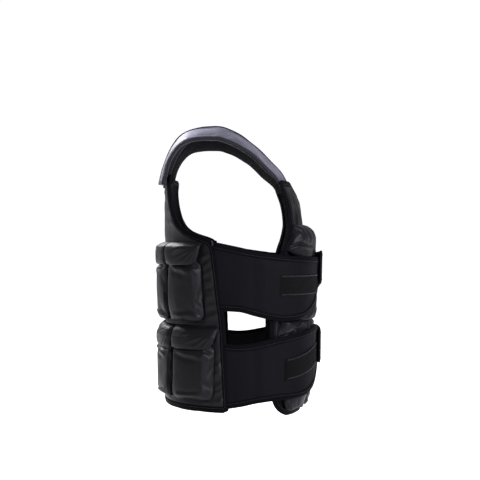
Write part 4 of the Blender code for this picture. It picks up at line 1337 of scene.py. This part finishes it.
STRAP_TAPE = np.array((  # in from the strap's edge in metres, share of its thickness
    (0.0070, 0.93), (0.0066, 1.05), (0.0044, 1.03), (0.0024, 0.96), (0.0009, 0.84), (-0.0004, 0.64),
    (-0.0006, 0.5), (-0.0004, 0.36), (0.0009, 0.16), (0.0024, 0.04), (0.0044, -0.03), (0.0066, -0.05),
    (0.0070, 0.07),
))
STRAP_END_TAPE = np.array((  # on from the strap's end in metres, share of its thickness
    (0.0095, 0.95), (0.0090, 1.12), (0.0050, 1.11), (0.0015, 1.02), (-0.0004, 0.80), (-0.0008, 0.5),
    (-0.0004, 0.20), (0.0015, -0.02), (0.0050, -0.11), (0.0090, -0.12), (0.0095, 0.05),
))


def make_strap_tape(name, way, rings, lay, seam=None):
    """A tape on a strap, from its rings of flat (across, along, up) places."""
    count, columns = rings.shape[:2]
    make_piece(name, STRAP_LINE.wrap(way, rings.reshape(-1, 3)), tube_faces(count, columns, closed=False),
               finish("strap_tape"), flat=lay, seam=seam)


def make_strap_tapes(name, way):
    """Tape round a strap's two long edges and its back end, with stitches along its inner edge."""
    half = STRAP_WIDTH / 2
    count, end_count = 120, 33
    at = np.linspace(0.0, STRAP_LINE.length, count)
    line = np.column_stack([at, np.zeros((count, 2))])
    runs = []
    for label, edge in (("outer", 1), ("inner", -1)):
        wave = 0.0004 * soft_noise(line, 0.030, 420 + edge)
        rings = np.stack([np.column_stack([edge * (half - inset + wave * (inset < 0.004)), at,
                                           np.full(count, share)]) for inset, share in STRAP_TAPE], axis=1)
        lay = np.column_stack([rings[:, :, 1].ravel(),
                               np.tile(STRAP_TAPE[:, 0] + STRAP_TAPE[:, 1] * STRAP_THICK, count),
                               np.zeros(rings[:, :, 0].size)])
        make_strap_tape(f"{name}_tape_{label}", way, rings, lay,
                        np.tile(bump_at(STRAP_TAPE[:, 1], 0.5, 0.25), count))
        for share, flip in ((1.06, 1), (-0.06, -1)):
            seam = np.column_stack([np.full(count, edge * (half - 0.0056)), at, np.full(count, share)])
            points = STRAP_LINE.wrap(way, seam)
            runs.append(stitch_run(points, STRAP_LINE.wrap(way, raised(seam, 0.1 * flip)) - points))
    across = np.linspace(-half - 0.0006, half + 0.0006, end_count)
    wave = 0.0005 * soft_noise(np.column_stack([across, np.zeros((end_count, 2))]), 0.012, 431)
    rings = np.stack([np.column_stack([across, on + wave, np.full(end_count, share)])
                      for on, share in STRAP_END_TAPE], axis=1)
    lay = np.column_stack([rings[:, :, 0].ravel(), np.tile(STRAP_END_TAPE[:, 0], end_count),
                           np.zeros(rings[:, :, 0].size)])
    make_strap_tape(f"{name}_tape_end", way, rings, lay)
    make_stitches(f"{name}_stitches", runs, "dark_thread", bpy.context.scene.vest_details.stitch_thickness)


# Stage

def make_floor():
    """A wide pale floor below the vest."""
    bm = bmesh.new()
    bmesh.ops.create_circle(bm, cap_ends=True, radius=14.0, segments=128)
    mesh = bpy.data.meshes.new("floor")
    bm.to_mesh(mesh)
    bm.free()
    floor = bpy.data.objects.new("floor", mesh)
    floor.location.z = -0.62
    bpy.context.scene.collection.objects.link(floor)
    material = bpy.data.materials.new("pale_floor")
    material.use_nodes = True
    t = Tree(material.node_tree)
    shader = material.node_tree.nodes["Principled BSDF"]
    place = t.add("ShaderNodeTexCoord").outputs["Object"]
    cloudy = t.add("ShaderNodeTexNoise", {"Vector": place, "Scale": 0.8, "Detail": 3.0})
    t.put(shader.inputs["Base Color"],
          t.blend(cloudy.outputs[0], (0.86, 0.86, 0.87, 1), (0.90, 0.90, 0.91, 1)))
    t.put(shader.inputs["Roughness"], t.between(cloudy.outputs[0], 0.75, 0.85))
    seen = t.add("ShaderNodeLightPath").outputs["Is Camera Ray"]
    shader.inputs["Emission Color"].default_value = (1, 1, 1, 1)
    t.put(shader.inputs["Emission Strength"], t.between(seen, 0.30, 0.90))
    mesh.materials.append(material)


def make_light(name, place, aim, size, power, colour):
    """A round soft light at a place, turned to its aim."""
    data = bpy.data.lights.new(name, "AREA")
    data.shape = "DISK"
    data.size = size
    data.energy = power
    data.color = colour
    light = bpy.data.objects.new(name, data)
    light.location = place
    light.rotation_euler = (Vector(aim) - Vector(place)).to_track_quat("-Z", "Y").to_euler()
    bpy.context.scene.collection.objects.link(light)


def make_stage():
    """The floor, the soft lights, the white surroundings and the camera."""
    props = bpy.context.scene.vest_stage
    make_floor()
    world = bpy.data.worlds.new("white_surroundings")
    world.use_nodes = True
    bpy.context.scene.world = world
    bpy.context.scene.view_settings.view_transform = "Standard"
    background = world.node_tree.nodes["Background"]
    t = Tree(world.node_tree)
    seen = t.add("ShaderNodeLightPath").outputs["Is Camera Ray"]
    background.inputs["Color"].default_value = (*props.surroundings, 1)
    t.put(background.inputs["Strength"], t.between(seen, props.surroundings_strength, 1.08))
    middle = (0, -0.04, -0.2)
    make_light("high_softbox", (2.1, 1.45, 1.5), middle, 1.6, props.key_power, (0.98, 0.96, 1.0))
    make_light("front_softbox", (-1.9, -1.5, 0.7), middle, 1.1, props.fill_power, (0.89, 0.87, 1.0))
    data = bpy.data.cameras.new("camera")
    data.lens = 91.7
    data.sensor_width = 36.0
    camera = bpy.data.objects.new("camera", data)
    camera.location = (-2.2, -0.042, -0.178)
    camera.rotation_euler = (radians(90), 0, radians(-90))
    bpy.context.scene.collection.objects.link(camera)
    bpy.context.scene.camera = camera


# Add-on

class VestDetails(bpy.types.PropertyGroup):
    """Sizes of the vest's sewn details."""

    pocket_voxel: FloatProperty(name="Pocket cloth step", default=0.0040, min=0.003, max=0.008, unit="LENGTH",
                                description="Spacing of the pockets' simulated cloth")
    tape_proud: FloatProperty(name="Tape thickness", description="How far an edge tape stands off its cloth",
                              default=0.0007, min=0.0002, max=0.002, unit="LENGTH")
    stitch_length: FloatProperty(name="Stitch length", description="Length of one stitch along an edge tape",
                                 default=0.0030, min=0.001, max=0.008, unit="LENGTH")
    stitch_gap: FloatProperty(name="Stitch gap", description="Space between two stitches",
                              default=0.0010, min=0.0002, max=0.004, unit="LENGTH")
    stitch_thickness: FloatProperty(name="Thread thickness", description="Thickness of the sewing thread",
                                    default=0.0006, min=0.0002, max=0.0015, unit="LENGTH")
    zigzag_pitch: FloatProperty(name="Zigzag pitch", default=0.0030, min=0.001, max=0.008, unit="LENGTH",
                                description="Length of one zigzag of the patches' stitching")
    zigzag_width: FloatProperty(name="Zigzag width", description="Width of the patches' zigzag stitching",
                                default=0.0030, min=0.001, max=0.006, unit="LENGTH")


def shade_of(cloth, name, description):
    """A setting for a cloth's lighter shade."""
    return FloatVectorProperty(name=name, description=description, default=FINISHES[cloth].light, min=0,
                               max=1, subtype="COLOR")


class VestShades(bpy.types.PropertyGroup):
    """The lighter shade of each cloth."""

    pocket_cloth: shade_of("pocket_cloth", "Pockets", "Shade of the pockets and their flaps")
    panel_cloth: shade_of("panel_cloth", "Panels", "Shade of the front and back panels")
    strap_cloth: shade_of("strap_cloth", "Straps", "Shade of the shoulder straps")
    strap_tape: shade_of("strap_tape", "Strap tape", "Shade of the tape round the shoulder straps")
    belt_neoprene: shade_of("belt_neoprene", "Belts", "Shade of the side belts")
    edge_binding: shade_of("edge_binding", "Edge tape", "Shade of the tape round every edge")
    loop_fabric: shade_of("loop_fabric", "Loop patches", "Shade of the loop patches")
    lining_mesh: shade_of("lining_mesh", "Lining", "Shade of the panels' and straps' inside")


class VestStage(bpy.types.PropertyGroup):
    """Light round the vest."""

    surroundings: FloatVectorProperty(name="Surroundings", description="Colour of the white surroundings",
                                      default=(0.96, 0.945, 1.0), min=0, max=1, subtype="COLOR")
    surroundings_strength: FloatProperty(name="Surroundings strength", default=0.34, min=0, max=5,
                                         description="Brightness of the surroundings")
    key_power: FloatProperty(name="High light", default=80.0, min=0, subtype="POWER",
                             description="Power of the soft light high behind the shoulders")
    fill_power: FloatProperty(name="Front light", description="Power of the soft light at the front's right",
                              default=64.0, min=0, subtype="POWER")


class VEST_OT_panels(bpy.types.Operator):
    """Builds the back and front panels with their edge tape"""

    bl_idname = "vest.panels"
    bl_label = "Panels"

    def execute(self, context):
        for side in PANELS:
            make_panel(side)
        make_bartacks()
        return {"FINISHED"}


class VEST_OT_pockets(bpy.types.Operator):
    """Builds the weighted pockets of both panels"""

    bl_idname = "vest.pockets"
    bl_label = "Pockets"

    def execute(self, context):
        make_pockets()
        return {"FINISHED"}


class VEST_OT_flaps(bpy.types.Operator):
    """Builds the flaps over the pockets"""

    bl_idname = "vest.flaps"
    bl_label = "Flaps"

    def execute(self, context):
        for r, row in enumerate(POCKET_ROWS):
            for k in range(row.count):
                make_flap(row, k, r * 7 + k)
        return {"FINISHED"}


class VEST_OT_belts(bpy.types.Operator):
    """Builds the four neoprene belts with their edge tape"""

    bl_idname = "vest.belts"
    bl_label = "Belts"

    def execute(self, context):
        for level, side in BELTS:
            make_belt(level, side)
        return {"FINISHED"}


class VEST_OT_patches(bpy.types.Operator):
    """Builds the loop patches on the right belts"""

    bl_idname = "vest.patches"
    bl_label = "Loop patches"

    def execute(self, context):
        for level in PATCHES:
            make_patch(level)
        return {"FINISHED"}


class VEST_OT_straps(bpy.types.Operator):
    """Builds the two padded shoulder straps"""

    bl_idname = "vest.straps"
    bl_label = "Shoulder straps"

    def execute(self, context):
        make_straps()
        return {"FINISHED"}


class VEST_OT_stage(bpy.types.Operator):
    """Builds the floor, the lights and the camera"""

    bl_idname = "vest.stage"
    bl_label = "Stage"

    def execute(self, context):
        make_stage()
        return {"FINISHED"}


OPERATORS = (VEST_OT_stage, VEST_OT_panels, VEST_OT_pockets, VEST_OT_flaps, VEST_OT_belts, VEST_OT_patches,
             VEST_OT_straps)


class VEST_PT_sidebar(bpy.types.Panel):
    """The vest's sizes and the buttons that build its pieces"""

    bl_label = "Weighted vest"
    bl_space_type = "VIEW_3D"
    bl_region_type = "UI"
    bl_category = "Vest"

    def draw(self, context):
        for settings in (context.scene.vest_details, context.scene.vest_shades, context.scene.vest_stage):
            for key in settings.bl_rna.properties.keys():
                if key not in ("rna_type", "name"):
                    self.layout.prop(settings, key)
        for operator in OPERATORS:
            self.layout.operator(operator.bl_idname)


CLASSES = (VestDetails, VestShades, VestStage, *OPERATORS, VEST_PT_sidebar)


def register():
    for cls in CLASSES:
        bpy.utils.register_class(cls)
    bpy.types.Scene.vest_details = PointerProperty(type=VestDetails)
    bpy.types.Scene.vest_shades = PointerProperty(type=VestShades)
    bpy.types.Scene.vest_stage = PointerProperty(type=VestStage)


def unregister():
    del bpy.types.Scene.vest_stage
    del bpy.types.Scene.vest_shades
    del bpy.types.Scene.vest_details
    for cls in reversed(CLASSES):
        bpy.utils.unregister_class(cls)


def main():
    """Builds the vest and its stage."""
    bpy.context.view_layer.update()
    register()
    for operator in OPERATORS:
        getattr(bpy.ops.vest, operator.bl_idname.split(".")[1])()
    bpy.context.view_layer.update()


if __name__ == "__main__":
    main()
